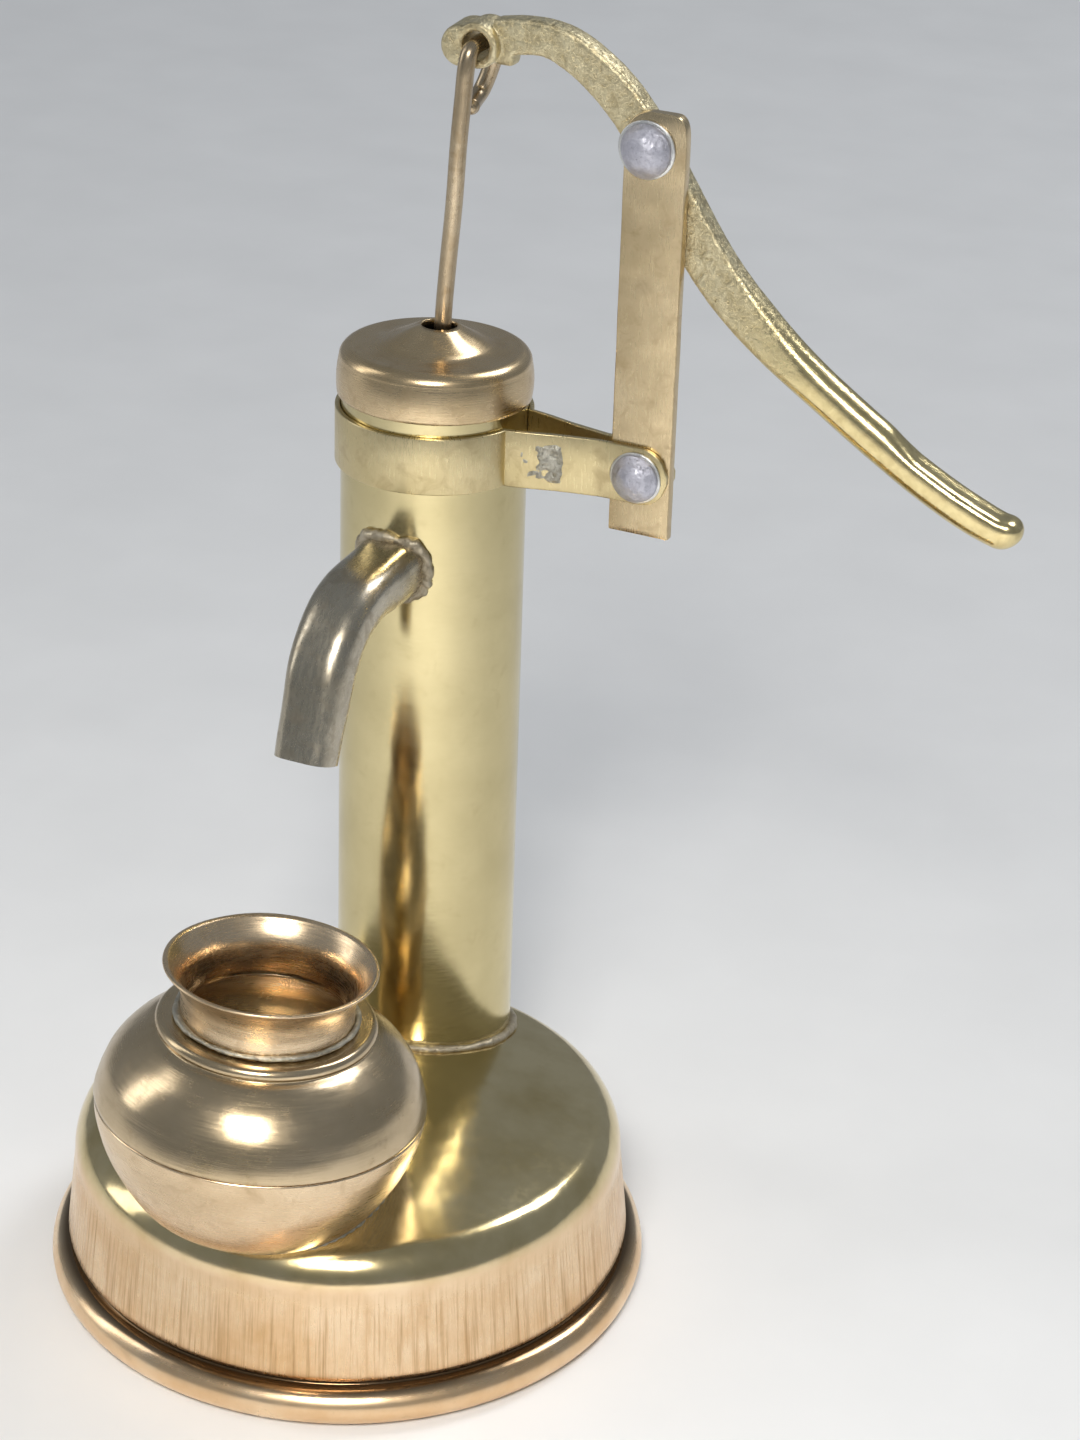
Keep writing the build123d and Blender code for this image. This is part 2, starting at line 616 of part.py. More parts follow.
def bowl_outline(grow):
    """Outer half outline of the bowl, moved outwards by grow, closed along the pot's axis."""
    with BuildLine(mode=Mode.PRIVATE) as outline:
        Spline(
            (POT_SEAM[0] + grow, POT_SEAM[1]),
            (24.9 + grow, 39.4),
            (19.5 + grow * 0.8, 31.5 - grow * 0.6),
            (9.2 + grow * 0.2, 27.5 - grow),
            (0, 26.9 - grow),
        )
        Line((0, 26.9 - grow), (0, POT_SEAM[1]))
        Line((0, POT_SEAM[1]), (POT_SEAM[0] + grow, POT_SEAM[1]))
    return outline.line


with BuildPart() as pot_bowl:
    with BuildSketch(pot_plane):
        with BuildLine():
            Line((0, 26.9), (0, 27.8))
            Spline((0, 27.8), (9.0, 28.4), (18.8, 32.2), (24.0, 39.7), (27.1, POT_SEAM[1]))
            Line((27.1, POT_SEAM[1]), POT_SEAM)
            Spline(POT_SEAM, (24.9, 39.4), (19.5, 31.5), (9.2, 27.5), (0, 26.9))
        make_face()
    revolve(axis=pot_axis)
    add(base_envelope.part, mode=Mode.SUBTRACT)

# round floor soldered inside the bowl, just above the dome
with BuildPart() as pot_floor:
    with BuildSketch(Plane(origin=pot_origin + pot_up * 38.6, x_dir=pot_side, z_dir=pot_up)):
        Circle(23.9)
    extrude(amount=0.9)
    add(pot_bowl.part, mode=Mode.SUBTRACT)

with BuildPart() as bowl_solid:
    with BuildSketch(pot_plane):
        add(bowl_outline(0))
        make_face()
    revolve(axis=pot_axis)

# solder bead where the bowl meets the dome
with BuildPart() as pot_foot_solder:
    with BuildSketch(pot_plane):
        add(bowl_outline(0.8))
        make_face()
    revolve(axis=pot_axis)
    add(base_envelope.part.moved(Location((0, 0, 1.0))), mode=Mode.INTERSECT)
    add(base_envelope.part, mode=Mode.SUBTRACT)
    add(bowl_solid.part, mode=Mode.SUBTRACT)

with BuildPart() as pot_body:
    with BuildSketch(pot_plane):
        with BuildLine():
            Line((27.0, POT_SEAM[1]), POT_SEAM)
            Spline(POT_SEAM, (27.3, 53.6), (23.6, 60.0), (18.5, 63.6))
            ThreePointArc((18.5, 63.6), (18.5, 65.4), (17.3, POT_COLLAR_Z))
            Line((17.3, POT_COLLAR_Z), (NECK_R - 0.7, POT_COLLAR_Z))
            Line((NECK_R - 0.7, POT_COLLAR_Z), (NECK_R - 0.7, POT_COLLAR_Z - POT_SHEET))
            Line((NECK_R - 0.7, POT_COLLAR_Z - POT_SHEET), (17.0, POT_COLLAR_Z - POT_SHEET))
            Line((17.0, POT_COLLAR_Z - POT_SHEET), (17.8, 63.0))
            Spline((17.8, 63.0), (22.8, 59.4), (26.3, 53.3), (27.0, POT_SEAM[1]))
        make_face()
    revolve(axis=pot_axis)

with BuildPart() as pot_neck:
    with BuildSketch(pot_plane):
        with BuildLine():
            Line((NECK_R - POT_SHEET, POT_COLLAR_Z), (NECK_R, POT_COLLAR_Z))
            Spline((NECK_R, POT_COLLAR_Z), (NECK_R + 0.1, 69.4), (NECK_R + 1.5, 73.0), (RIM_R, RIM_Z - 0.4))
            ThreePointArc((RIM_R, RIM_Z - 0.4), (RIM_R - 0.3, RIM_Z), (RIM_R - 1.0, RIM_Z - 0.1))
            Spline(
                (RIM_R - 1.0, RIM_Z - 0.1),
                (NECK_R + 0.5, 73.1),
                (NECK_R - POT_SHEET + 0.1, 69.4),
                (NECK_R - POT_SHEET, POT_COLLAR_Z),
            )
        make_face()
    revolve(axis=pot_axis)

with BuildPart() as pot_neck_solder:
    with BuildSketch(pot_plane):
        with BuildLine():
            Polyline(
                (NECK_R + 0.05, POT_COLLAR_Z + 0.02),
                (NECK_R + 1.5, POT_COLLAR_Z + 0.02),
                (NECK_R + 0.9, POT_COLLAR_Z + 0.8),
                (NECK_R + 0.12, POT_COLLAR_Z + 1.4),
                (NECK_R + 0.05, POT_COLLAR_Z + 0.02),
            )
        make_face()
    revolve(axis=pot_axis)

pieces = {
    "base_shell": base_shell,
    "base_plate": base_plate,
    "barrel_tube": barrel_tube,
    "barrel_foot_solder": barrel_foot_solder,
    "spout": spout,
    "spout_solder": spout_solder,
    "cap": cap,
    "cap_solder": cap_solder,
    "clamp_band": clamp_band,
    "clamp_solder": clamp_solder,
    "link": link,
    "lower_rivet": lower_rivet,
    "lower_rivet_washer": lower_rivet_washer,
    "upper_rivet": upper_rivet,
    "upper_rivet_washer": upper_rivet_washer,
    "lever": lever,
    "pump_rod": pump_rod,
    "piston_yoke": piston_yoke,
    "piston_pin": piston_pin,
    "piston_stud": piston_stud,
    "piston_cup": piston_cup,
    "piston_follower": piston_follower,
    "piston_nut": piston_nut,
    "piston_valve": piston_valve,
    "foot_valve_seat": foot_valve_seat,
    "foot_valve_cage": foot_valve_cage,
    "foot_valve_ball": foot_valve_ball,
    "suction_tube": suction_tube,
    "pot_bowl": pot_bowl,
    "pot_floor": pot_floor,
    "pot_foot_solder": pot_foot_solder,
    "pot_body": pot_body,
    "pot_neck": pot_neck,
    "pot_neck_solder": pot_neck_solder,
}
for name, piece in pieces.items():
    save(piece, name)
    print(name, round(piece.part.volume, 1), piece.part.is_valid, len(piece.part.solids()))
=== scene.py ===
from math import asin, atan2, cos, pi, radians, sin, sqrt

import bpy
import bmesh
import numpy as np
from mathutils import Matrix, Vector, noise


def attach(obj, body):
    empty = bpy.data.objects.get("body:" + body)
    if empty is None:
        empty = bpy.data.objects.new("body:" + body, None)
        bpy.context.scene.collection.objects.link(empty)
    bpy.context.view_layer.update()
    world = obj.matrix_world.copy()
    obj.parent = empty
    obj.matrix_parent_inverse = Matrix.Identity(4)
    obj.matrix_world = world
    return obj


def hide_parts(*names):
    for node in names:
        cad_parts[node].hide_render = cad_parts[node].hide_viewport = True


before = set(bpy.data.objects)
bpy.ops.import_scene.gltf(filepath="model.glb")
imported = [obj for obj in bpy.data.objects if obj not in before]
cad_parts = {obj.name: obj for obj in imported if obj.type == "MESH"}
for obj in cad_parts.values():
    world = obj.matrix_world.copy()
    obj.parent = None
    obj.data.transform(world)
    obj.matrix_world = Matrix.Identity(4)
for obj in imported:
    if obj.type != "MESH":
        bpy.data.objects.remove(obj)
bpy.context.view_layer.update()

MM = 0.001

# ---- camera ----------------------------------------------------------------------------------
CAM_AT = Vector((0.241975, -0.464663, 0.372633))
CAM_YAW, CAM_PITCH, CAM_ROLL = -0.420055, 0.467972, 0.033791
forward = Vector((sin(CAM_YAW), cos(CAM_YAW), 0))
right = Vector((cos(CAM_YAW), -sin(CAM_YAW), 0))
look = forward * cos(CAM_PITCH) - Vector((0, 0, 1)) * sin(CAM_PITCH)
lift = forward * sin(CAM_PITCH) + Vector((0, 0, 1)) * cos(CAM_PITCH)
cam_x = right * cos(CAM_ROLL) + lift * sin(CAM_ROLL)
cam_y = -right * sin(CAM_ROLL) + lift * cos(CAM_ROLL)
camera = bpy.data.objects.new("camera", bpy.data.cameras.new("camera"))
camera.data.lens = 87.55
camera.data.sensor_width = 36
camera.data.clip_start = 0.01
camera.data.clip_end = 20
cam_axes = Matrix((cam_x, cam_y, -look)).transposed().to_4x4()
camera.matrix_world = Matrix.Translation(CAM_AT) @ cam_axes
bpy.context.scene.collection.objects.link(camera)
bpy.context.scene.camera = camera


# ---- shader helpers ----------------------------------------------------------------------------
class Nodes:
    """Small helper for building one material's node tree."""

    def __init__(self, name):
        self.mat = bpy.data.materials.new(name)
        self.mat.use_nodes = True
        self.tree = self.mat.node_tree
        self.tree.nodes.clear()
        self.out = self.add("ShaderNodeOutputMaterial")
        self.shader = self.add("ShaderNodeBsdfPrincipled")
        self.link(self.shader.outputs[0], self.out.inputs[0])
        self.coord = self.add("ShaderNodeTexCoord")

    def add(self, kind, **values):
        node = self.tree.nodes.new(kind)
        for key, value in values.items():
            setattr(node, key, value)
        return node

    def link(self, a, b):
        self.tree.links.new(a, b)

    def mapped(self, source, scale):
        """Object or UV coordinates, in millimetres, stretched by scale."""
        node = self.add("ShaderNodeMapping")
        node.inputs["Scale"].default_value = scale
        self.link(self.coord.outputs[source], node.inputs[0])
        return node.outputs[0]

    def noise(self, vector, scale, detail=4.0, rough=0.55, distort=0.0):
        node = self.add("ShaderNodeTexNoise")
        node.inputs["Scale"].default_value = scale
        node.inputs["Detail"].default_value = detail
        node.inputs["Roughness"].default_value = rough
        node.inputs["Distortion"].default_value = distort
        self.link(vector, node.inputs["Vector"])
        return node.outputs["Fac"]

    def levels(self, fac, low, high, to_low, to_high):
        node = self.add("ShaderNodeMapRange")
        for i, value in enumerate((low, high, to_low, to_high)):
            node.inputs[i + 1].default_value = value
        self.link(fac, node.inputs[0])
        return node.outputs[0]

    def math(self, how, a, b):
        node = self.add("ShaderNodeMath", operation=how)
        for i, value in enumerate((a, b)):
            if hasattr(value, "node"):
                self.link(value, node.inputs[i])
            else:
                node.inputs[i].default_value = value
        return node.outputs[0]

    def mix(self, fac, a, b):
        node = self.add("ShaderNodeMix", data_type="RGBA")
        for i, value in ((0, fac), (6, a), (7, b)):
            if hasattr(value, "node"):
                self.link(value, node.inputs[i])
            elif isinstance(value, (int, float)):
                node.inputs[i].default_value = value
            else:
                node.inputs[i].default_value = (*value, 1)
        return node.outputs[2]

    def bump(self, height, strength, distance, under=None):
        node = self.add("ShaderNodeBump")
        node.inputs["Strength"].default_value = strength
        node.inputs["Distance"].default_value = distance
        self.link(height, node.inputs["Height"])
        if under is not None:
            self.link(under, node.inputs["Normal"])
        return node.outputs[0]

    def finish(self, color, rough, normal=None, metallic=1.0):
        self.shader.inputs["Metallic"].default_value = metallic
        self.link(color, self.shader.inputs["Base Color"])
        self.link(rough, self.shader.inputs["Roughness"])
        if normal is not None:
            self.link(normal, self.shader.inputs["Normal"])
        return self.mat


def brass(name, light, dark, stain, rough, grain=(1, 1, 1), grain_bump=0.05, tarnish=0.5, wave=0.25):
    """Brass with clouded polish, fine directional scratches, specks and slow surface waves."""
    n = Nodes(name)
    obj = n.mapped("Object", (1000, 1000, 1000))
    uv = n.mapped("UV", grain)
    clouds = n.noise(obj, 0.055, 5, 0.6)
    blotch = n.noise(obj, 0.3, 5, 0.65, 0.6)
    specks = n.noise(obj, 1.9, 3, 0.6)
    scratch = n.noise(uv, 1.0, 4, 0.65)
    color = n.mix(n.levels(clouds, 0.35, 0.68, 0, 1), light, dark)
    color = n.mix(n.levels(blotch, 0.60 - 0.12 * tarnish, 0.86, 0, tarnish), color, stain)
    color = n.mix(n.levels(specks, 0.70, 0.78, 0, 0.45 * tarnish), color, stain)
    color = n.mix(n.levels(scratch, 0.30, 0.75, 0, 0.22), color, dark)
    r = n.levels(scratch, 0.25, 0.75, rough * 0.75, rough * 1.35)
    r = n.math("ADD", r, n.levels(blotch, 0.5, 0.8, 0, 0.16 * tarnish))
    r = n.math("ADD", r, n.levels(clouds, 0.4, 0.7, 0, 0.05))
    waves = n.bump(n.noise(obj, 0.09, 2, 0.4), wave, 0.0006)
    normal = n.bump(scratch, grain_bump, 0.00012, waves)
    return n.finish(color, r, normal)


def rough_cast(name, light, dark, stain, rough, pit=0.6):
    """Cast metal: lumpy skin with pits, dark in the low spots."""
    n = Nodes(name)
    obj = n.mapped("Object", (1000, 1000, 1000))
    lumps = n.noise(obj, 0.5, 6, 0.65, 0.4)
    pits = n.noise(obj, 1.7, 4, 0.7)
    color = n.mix(n.levels(lumps, 0.35, 0.65, 0, 1), dark, light)
    color = n.mix(n.levels(pits, 0.58, 0.74, 0, 0.7), color, stain)
    r = n.levels(pits, 0.35, 0.7, rough * 0.8, rough * 1.5)
    height = n.math("SUBTRACT", lumps, n.levels(pits, 0.55, 0.8, 0, 0.5))
    return n.finish(color, r, n.bump(height, pit, 0.0005))


def leather(name, light, dark):
    n = Nodes(name)
    obj = n.mapped("Object", (1000, 1000, 1000))
    grain = n.noise(obj, 2.4, 4, 0.6)
    color = n.mix(n.levels(n.noise(obj, 0.3, 4), 0.3, 0.7, 0, 1), dark, light)
    return n.finish(color, n.levels(grain, 0.3, 0.7, 0.45, 0.7), n.bump(grain, 0.5, 0.0003), 0.0)


GOLD = (0.80, 0.67, 0.40)
OLIVE = (0.60, 0.51, 0.28)
PEACH = (0.88, 0.68, 0.46)
BROWN = (0.30, 0.19, 0.08)
mat_barrel = brass("barrel_brass", (0.70, 0.60, 0.34), OLIVE, BROWN, 0.15, (0.25, 3.0, 1), 0.04, 0.25, 0.18)
mat_cap = brass(
    "cap_brass", (0.74, 0.58, 0.37), (0.56, 0.42, 0.24), BROWN, 0.24, (0.2, 3.5, 1), 0.12, 0.6, 0.3,
)
# painted light and shade: the pot's body, bowl and neck are one brass, given a darker copy for the shade on the
# upturned body and a lighter copy for the light on the bowl and neck
mat_pot_painted_shade = brass(
    "pot_brass_painted_shade", (0.68, 0.54, 0.36), (0.50, 0.39, 0.24), BROWN, 0.20, (0.2, 3.0, 1), 0.10, 0.5, 0.4,
)
mat_bowl_painted_light = brass(
    "bowl_brass_painted_light", (0.82, 0.65, 0.45), (0.66, 0.50, 0.32), BROWN, 0.24, (0.2, 3.0, 1), 0.12, 0.5, 0.4,
)
mat_band = brass(
    "band_brass", (0.74, 0.62, 0.37), (0.58, 0.48, 0.26), BROWN, 0.27, (0.3, 3.0, 1), 0.12, 0.6, 0.5,
)
mat_link = brass(
    "link_brass", (0.76, 0.61, 0.39), (0.56, 0.44, 0.26), BROWN, 0.25, (2.5, 0.2, 1), 0.12, 0.6, 0.5,
)
mat_spout = brass(
    "spout_brass", (0.62, 0.56, 0.45), (0.42, 0.37, 0.28), (0.22, 0.17, 0.11), 0.24, (2, 0.4, 1), 0.15, 0.9, 0.8,
)
mat_rod = brass(
    "rod_brass", (0.60, 0.49, 0.34), (0.40, 0.31, 0.20), BROWN, 0.26, (3, 0.15, 1), 0.2, 0.8, 0.3,
)


def lever_brass():
    """Cast skin on the flat arm that gives way to a hand-polished grip."""
    n = Nodes("lever_brass")
    obj = n.mapped("Object", (1000, 1000, 1000))
    parts = n.add("ShaderNodeSeparateXYZ")
    n.link(n.coord.outputs["Object"], parts.inputs[0])
    grip = n.levels(parts.outputs[0], 0.050, 0.066, 0, 1)
    arm = n.levels(parts.outputs[0], 0.050, 0.066, 1, 0)
    lumps = n.noise(obj, 0.5, 6, 0.65, 0.4)
    pits = n.noise(obj, 1.7, 4, 0.7)
    scratch = n.noise(n.mapped("Object", (350, 3000, 350)), 1.0, 4, 0.65)
    cast = n.mix(n.levels(lumps, 0.35, 0.65, 0, 1), (0.56, 0.47, 0.28), (0.80, 0.71, 0.47))
    cast = n.mix(n.levels(pits, 0.58, 0.74, 0, 0.6), cast, (0.30, 0.23, 0.12))
    smooth_skin = n.mix(n.levels(lumps, 0.4, 0.7, 0, 1), (0.80, 0.67, 0.36), (0.62, 0.50, 0.25))
    color = n.mix(grip, cast, smooth_skin)
    r_cast = n.levels(pits, 0.35, 0.7, 0.30, 0.52)
    r_grip = n.levels(scratch, 0.25, 0.75, 0.15, 0.26)
    r = n.math("ADD", n.math("MULTIPLY", r_cast, arm), n.math("MULTIPLY", r_grip, grip))
    height = n.math("SUBTRACT", lumps, n.levels(pits, 0.55, 0.8, 0, 0.5))
    height = n.math("MULTIPLY", height, arm)
    fine = n.math("MULTIPLY", n.math("MULTIPLY", scratch, grip), 0.12)
    return n.finish(color, r, n.bump(n.math("ADD", height, fine), 0.6, 0.0005))


mat_lever = lever_brass()
mat_inner = rough_cast("inner_cast", (0.62, 0.50, 0.26), (0.45, 0.34, 0.16), BROWN, 0.34, 0.4)
mat_solder = rough_cast("solder", (0.56, 0.54, 0.47), (0.33, 0.31, 0.25), (0.17, 0.15, 0.11), 0.38, 0.8)
mat_rivet = rough_cast("rivet_metal", (0.64, 0.64, 0.71), (0.50, 0.50, 0.57), (0.36, 0.36, 0.41), 0.50, 0.5)
mat_saddle = rough_cast(
    "brazed_joint", (0.52, 0.46, 0.35), (0.34, 0.29, 0.21), (0.20, 0.16, 0.11), 0.40, 0.7,
)
mat_washer = rough_cast("washer_metal", (0.82, 0.82, 0.81), (0.66, 0.66, 0.65), (0.4, 0.4, 0.4), 0.34, 0.2)
mat_steel = rough_cast("valve_steel", (0.6, 0.6, 0.61), (0.45, 0.45, 0.46), (0.3, 0.3, 0.3), 0.22, 0.15)
mat_leather = leather("cup_leather", (0.16, 0.085, 0.045), (0.08, 0.04, 0.02))


def skirt_brass():
    """The base's upright wall: peach brass with fine upright tool marks below the shoulder; the dome above the
    shoulder is given a darker gold, which is painted shade.
    """
    n = Nodes("skirt_brass")
    obj = n.mapped("Object", (1000, 1000, 1000))
    marks = n.noise(n.mapped("UV", (1.5, 0.035, 1)), 1.0, 5, 0.7)
    broad = n.noise(n.mapped("UV", (0.35, 0.06, 1)), 1.0, 3, 0.5)
    height = n.add("ShaderNodeSeparateXYZ")
    n.link(n.coord.outputs["Object"], height.inputs[0])
    z = height.outputs[2]
    on_wall = n.math("MULTIPLY", n.levels(z, 0.0072, 0.0085, 0, 1), n.levels(z, 0.0215, 0.0255, 1, 0))
    dome_painted_shade = n.levels(z, 0.0250, 0.0275, 0, 1)
    groove_painted_shade = n.math("MULTIPLY", n.levels(z, 0.0060, 0.0068, 0, 1), n.levels(z, 0.0072, 0.0082, 1, 0))
    clouds = n.noise(obj, 0.06, 5, 0.6)
    blotch = n.noise(obj, 0.35, 5, 0.65, 0.6)
    low = n.mix(n.levels(clouds, 0.35, 0.7, 0, 1), PEACH, (0.72, 0.48, 0.26))
    # painted shade: the upturned dome gets a darker gold than the peach wall below it
    top = n.mix(n.levels(clouds, 0.35, 0.7, 0, 1), GOLD, (0.56, 0.44, 0.21))
    color = n.mix(dome_painted_shade, low, top)
    streaks = n.math("MULTIPLY", n.levels(marks, 0.50, 0.68, 0, 0.75), on_wall)
    color = n.mix(streaks, color, (0.42, 0.25, 0.11))
    color = n.mix(n.math("MULTIPLY", n.levels(broad, 0.5, 0.7, 0, 0.4), on_wall), color, (0.60, 0.37, 0.18))
    color = n.mix(n.levels(blotch, 0.62, 0.85, 0, 0.35), color, BROWN)
    # painted shade: the groove between the rolled bead and the wall is darkened nearly to black
    color = n.mix(n.math("MULTIPLY", groove_painted_shade, 0.9), color, (0.10, 0.06, 0.03))
    r = n.levels(clouds, 0.3, 0.7, 0.12, 0.19)
    r = n.math("ADD", r, n.math("MULTIPLY", on_wall, n.levels(marks, 0.3, 0.7, 0.05, 0.22)))
    r = n.math("ADD", r, n.math("MULTIPLY", n.levels(z, 0.0055, 0.0065, 1, 0), 0.14))
    r = n.math("ADD", r, n.levels(blotch, 0.5, 0.8, 0, 0.07))
    waves = n.bump(n.noise(obj, 0.10, 2, 0.4), 0.35, 0.0006)
    tooled = n.math("MULTIPLY", marks, on_wall)
    return n.finish(color, r, n.bump(tooled, 0.35, 0.00025, waves))


mat_skirt = skirt_brass()


# ---- geometry helpers (millimetres in, metres out) ------------------------------------------------
def arc3(a, b, c, count):
    """Points of the circular arc from a to c through b."""
    (ax, ay), (bx, by), (cx, cy) = a, b, c
    d = 2 * (ax * (by - cy) + bx * (cy - ay) + cx * (ay - by))
    ux = ((ax**2 + ay**2) * (by - cy) + (bx**2 + by**2) * (cy - ay) + (cx**2 + cy**2) * (ay - by)) / d
    uy = ((ax**2 + ay**2) * (cx - bx) + (bx**2 + by**2) * (ax - cx) + (cx**2 + cy**2) * (bx - ax)) / d
    r = sqrt((ax - ux) ** 2 + (ay - uy) ** 2)
    t0, t1, t2 = (atan2(p[1] - uy, p[0] - ux) for p in (a, b, c))
    sweep = (t2 - t0) % (2 * pi)
    if (t1 - t0) % (2 * pi) > sweep:
        sweep -= 2 * pi
    angles = [t0 + sweep * i / count for i in range(count + 1)]
    return [(ux + r * cos(t), uy + r * sin(t)) for t in angles]


def smooth(points, per=6):
    """Catmull-Rom points through the given points, of any dimension."""
    pts = [np.array(p, float) for p in points]
    pts = [2 * pts[0] - pts[1], *pts, 2 * pts[-1] - pts[-2]]
    out = []
    for i in range(1, len(pts) - 2):
        p0, p1, p2, p3 = pts[i - 1 : i + 3]
        for k in range(per):
            t = k / per
            square = (2 * p0 - 5 * p1 + 4 * p2 - p3) * t**2
            cube = (3 * p1 - p0 - 3 * p2 + p3) * t**3
            out.append(0.5 * (2 * p1 + (p2 - p0) * t + square + cube))
    out.append(pts[-2])
    return [tuple(p) for p in out]


def chain(*runs):
    """Joins point runs, dropping repeated ends."""
    out = []
    for run in runs:
        for p in run:
            if not out or max(abs(x - y) for x, y in zip(out[-1], p)) > 1e-6:
                out.append(tuple(p))
    return out


def dense(points, step):
    """Adds points on straight runs so that no run is longer than step."""
    out = [points[0]]
    for a, b in zip(points, points[1:]):
        length = sqrt(sum((y - x) ** 2 for x, y in zip(a, b)))
        parts = max(1, int(length / step))
        for k in range(1, parts + 1):
            out.append(tuple(x + (y - x) * k / parts for x, y in zip(a, b)))
    return out


def new_piece(name, verts, faces, uvs, body, mat, stands_for=()):
    mesh = bpy.data.meshes.new(name)
    mesh.from_pydata([tuple(float(c) * MM for c in v) for v in verts], [], faces)
    if uvs is not None:
        layer = mesh.uv_layers.new(name="UVMap")
        for poly in mesh.polygons:
            for li, uv in zip(poly.loop_indices, uvs[poly.index]):
                layer.data[li].uv = uv
    mesh.polygons.foreach_set("use_smooth", [True] * len(mesh.polygons))
    mesh.update()
    obj = bpy.data.objects.new(name, mesh)
    bpy.context.scene.collection.objects.link(obj)
    obj.data.materials.append(mat)
    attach(obj, body)
    if stands_for:
        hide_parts(*stands_for)
    return obj


def ring_mesh(rings, closed_path=False, cap_ends=True):
    """Quads between rings of equal length, with metric UVs (u along the ring, v along the path)."""
    rings = [np.array(r, float) for r in rings]
    count, per = len(rings), len(rings[0])
    verts = [tuple(p) for r in rings for p in r]
    mid = rings[count // 2]
    around = np.concatenate([[0], np.cumsum(np.linalg.norm(np.roll(mid, -1, 0) - mid, axis=1))])
    along = [0.0]
    for a, b in zip(rings, rings[1:]):
        along.append(along[-1] + float(np.linalg.norm(b - a, axis=1).max()))
    faces, uvs = [], []
    spans = count if closed_path else count - 1
    for i in range(spans):
        j = (i + 1) % count
        v0, v1 = along[i], along[i + 1] if i + 1 < count else along[i] + 1
        for k in range(per):
            m = (k + 1) % per
            faces.append((i * per + k, i * per + m, j * per + m, j * per + k))
            uvs.append(((around[k], v0), (around[k + 1], v0), (around[k + 1], v1), (around[k], v1)))
    if cap_ends and not closed_path:
        for ring, flip in ((0, True), (count - 1, False)):
            verts.append(tuple(rings[ring].mean(0)))
            center = len(verts) - 1
            for k in range(per):
                m = (k + 1) % per
                a, b = ring * per + k, ring * per + m
                faces.append((b, a, center) if flip else (a, b, center))
                uvs.append(((around[k], along[ring]),) * 3)
    return verts, faces, uvs


def outward(obj):
    """Makes face normals point out, and merges doubled points."""
    bm = bmesh.new()
    bm.from_mesh(obj.data)
    bmesh.ops.remove_doubles(bm, verts=bm.verts, dist=1e-7)
    bmesh.ops.recalc_face_normals(bm, faces=bm.faces)
    bm.to_mesh(obj.data)
    bm.free()
    obj.data.polygons.foreach_set("use_smooth", [True] * len(obj.data.polygons))
    return obj


def sharpen(obj, degrees=32):
    """Splits shading at real edges."""
    mod = obj.modifiers.new("edges", "EDGE_SPLIT")
    mod.split_angle = radians(degrees)
    mod.use_edge_sharp = False
    return obj


def lathe(
    name, profile, body, mat, stands_for=(),
    origin=(0, 0, 0), up=(0, 0, 1), segs=192, warp=None, closed=True,
):
    """Turned piece from (radius, height) points. A closed profile makes a closed shell."""
    up = Vector(up).normalized()
    side = up.orthogonal().normalized()
    if abs(up.z) > 0.9:
        side = (Vector((1, 0, 0)) - up * up.x).normalized()
    other = up.cross(side)
    rings = []
    for r, h in profile:
        ring = []
        for k in range(segs):
            t = 2 * pi * k / segs
            rr, hh = (r, h) if warp is None else warp(r, h, t)
            p = Vector(origin) + side * (rr * cos(t)) + other * (rr * sin(t)) + up * hh
            ring.append(tuple(p))
        rings.append(ring)
    verts, faces, uvs = ring_mesh(rings, closed_path=closed, cap_ends=not closed)
    return outward(new_piece(name, verts, faces, uvs, body, mat, stands_for))


def round_rect(w, h, r, n=5):
    """Rounded rectangle outline, centred, w across and h up."""
    r = min(r, w / 2 - 1e-3, h / 2 - 1e-3)
    out = []
    x, y = w / 2 - r, h / 2 - r
    for cx, cy, a in ((x, y, 0), (-x, y, 90), (-x, -y, 180), (x, -y, 270)):
        for i in range(n + 1):
            t = radians(a + 90 * i / n)
            out.append((cx + r * cos(t), cy + r * sin(t)))
    return out


# ---- base -------------------------------------------------------------------------------------
BY = 29.3
SKIRT = [(49.55, 7.9), (50.0, 8.8), (48.4, 23.6)]
base_profile = chain(
    [(48.7, 1.3)],
    [(49.62 + 3.44 * cos(radians(a)), 3.46 + 3.44 * sin(radians(a))) for a in range(-96, 91, 8)],
    [(49.2, 6.86), (49.0, 7.15), (49.15, 7.5)],
    dense(SKIRT, 1.2),
    arc3((48.4, 23.6), (47.5, 27.8), (44.2, 31.0), 14),
    [(44.2 - 44.2 * i / 40, 36.8 - 171.3 + sqrt(171.3**2 - (44.2 - 44.2 * i / 40) ** 2)) for i in range(1, 40)],
    [(0.4, 36.8), (0.4, 35.8)],
    [(43.5 * i / 12, 35.7 - 5.8 * (i / 12) ** 2) for i in range(1, 13)],
    [(46.5, 27.4), (47.3, 23.6), (48.6, 8.2), (48.5, 3.0)],
)


def base_warp(r, h, t):
    p = Vector((cos(t) * 1.3, sin(t) * 1.3, h * 0.03))
    return r * (1 + 0.0016 * (noise.noise(p) - 0.35)), h


lathe(
    "base_shell_spun", base_profile, "stand", mat_skirt, ["base_shell"],
    segs=288, warp=base_warp,
)

# ---- barrel and cap ------------------------------------------------------------------------------
AT_BARREL = (0, BY, 0)
barrel_profile = chain(
    dense([(14.6, 28), (15.86, 28), (15.86, 160.4)], 3.0),
    arc3((15.86, 160.4), (15.75, 160.8), (15.2, 160.98), 4),
    [(14.62, 160.9)],
    dense([(14.6, 160.5), (14.6, 28)], 8.0),
)


def barrel_warp(r, h, t):
    p = Vector((cos(t) * 0.8, sin(t) * 0.8, h * 0.022))
    return (r - 0.05 * (1 + noise.noise(p)) if r > 15 else r), h


lathe(
    "barrel_tube_drawn", barrel_profile[:-1], "stand", mat_barrel, ["barrel_tube"],
    AT_BARREL, segs=160, warp=barrel_warp,
)

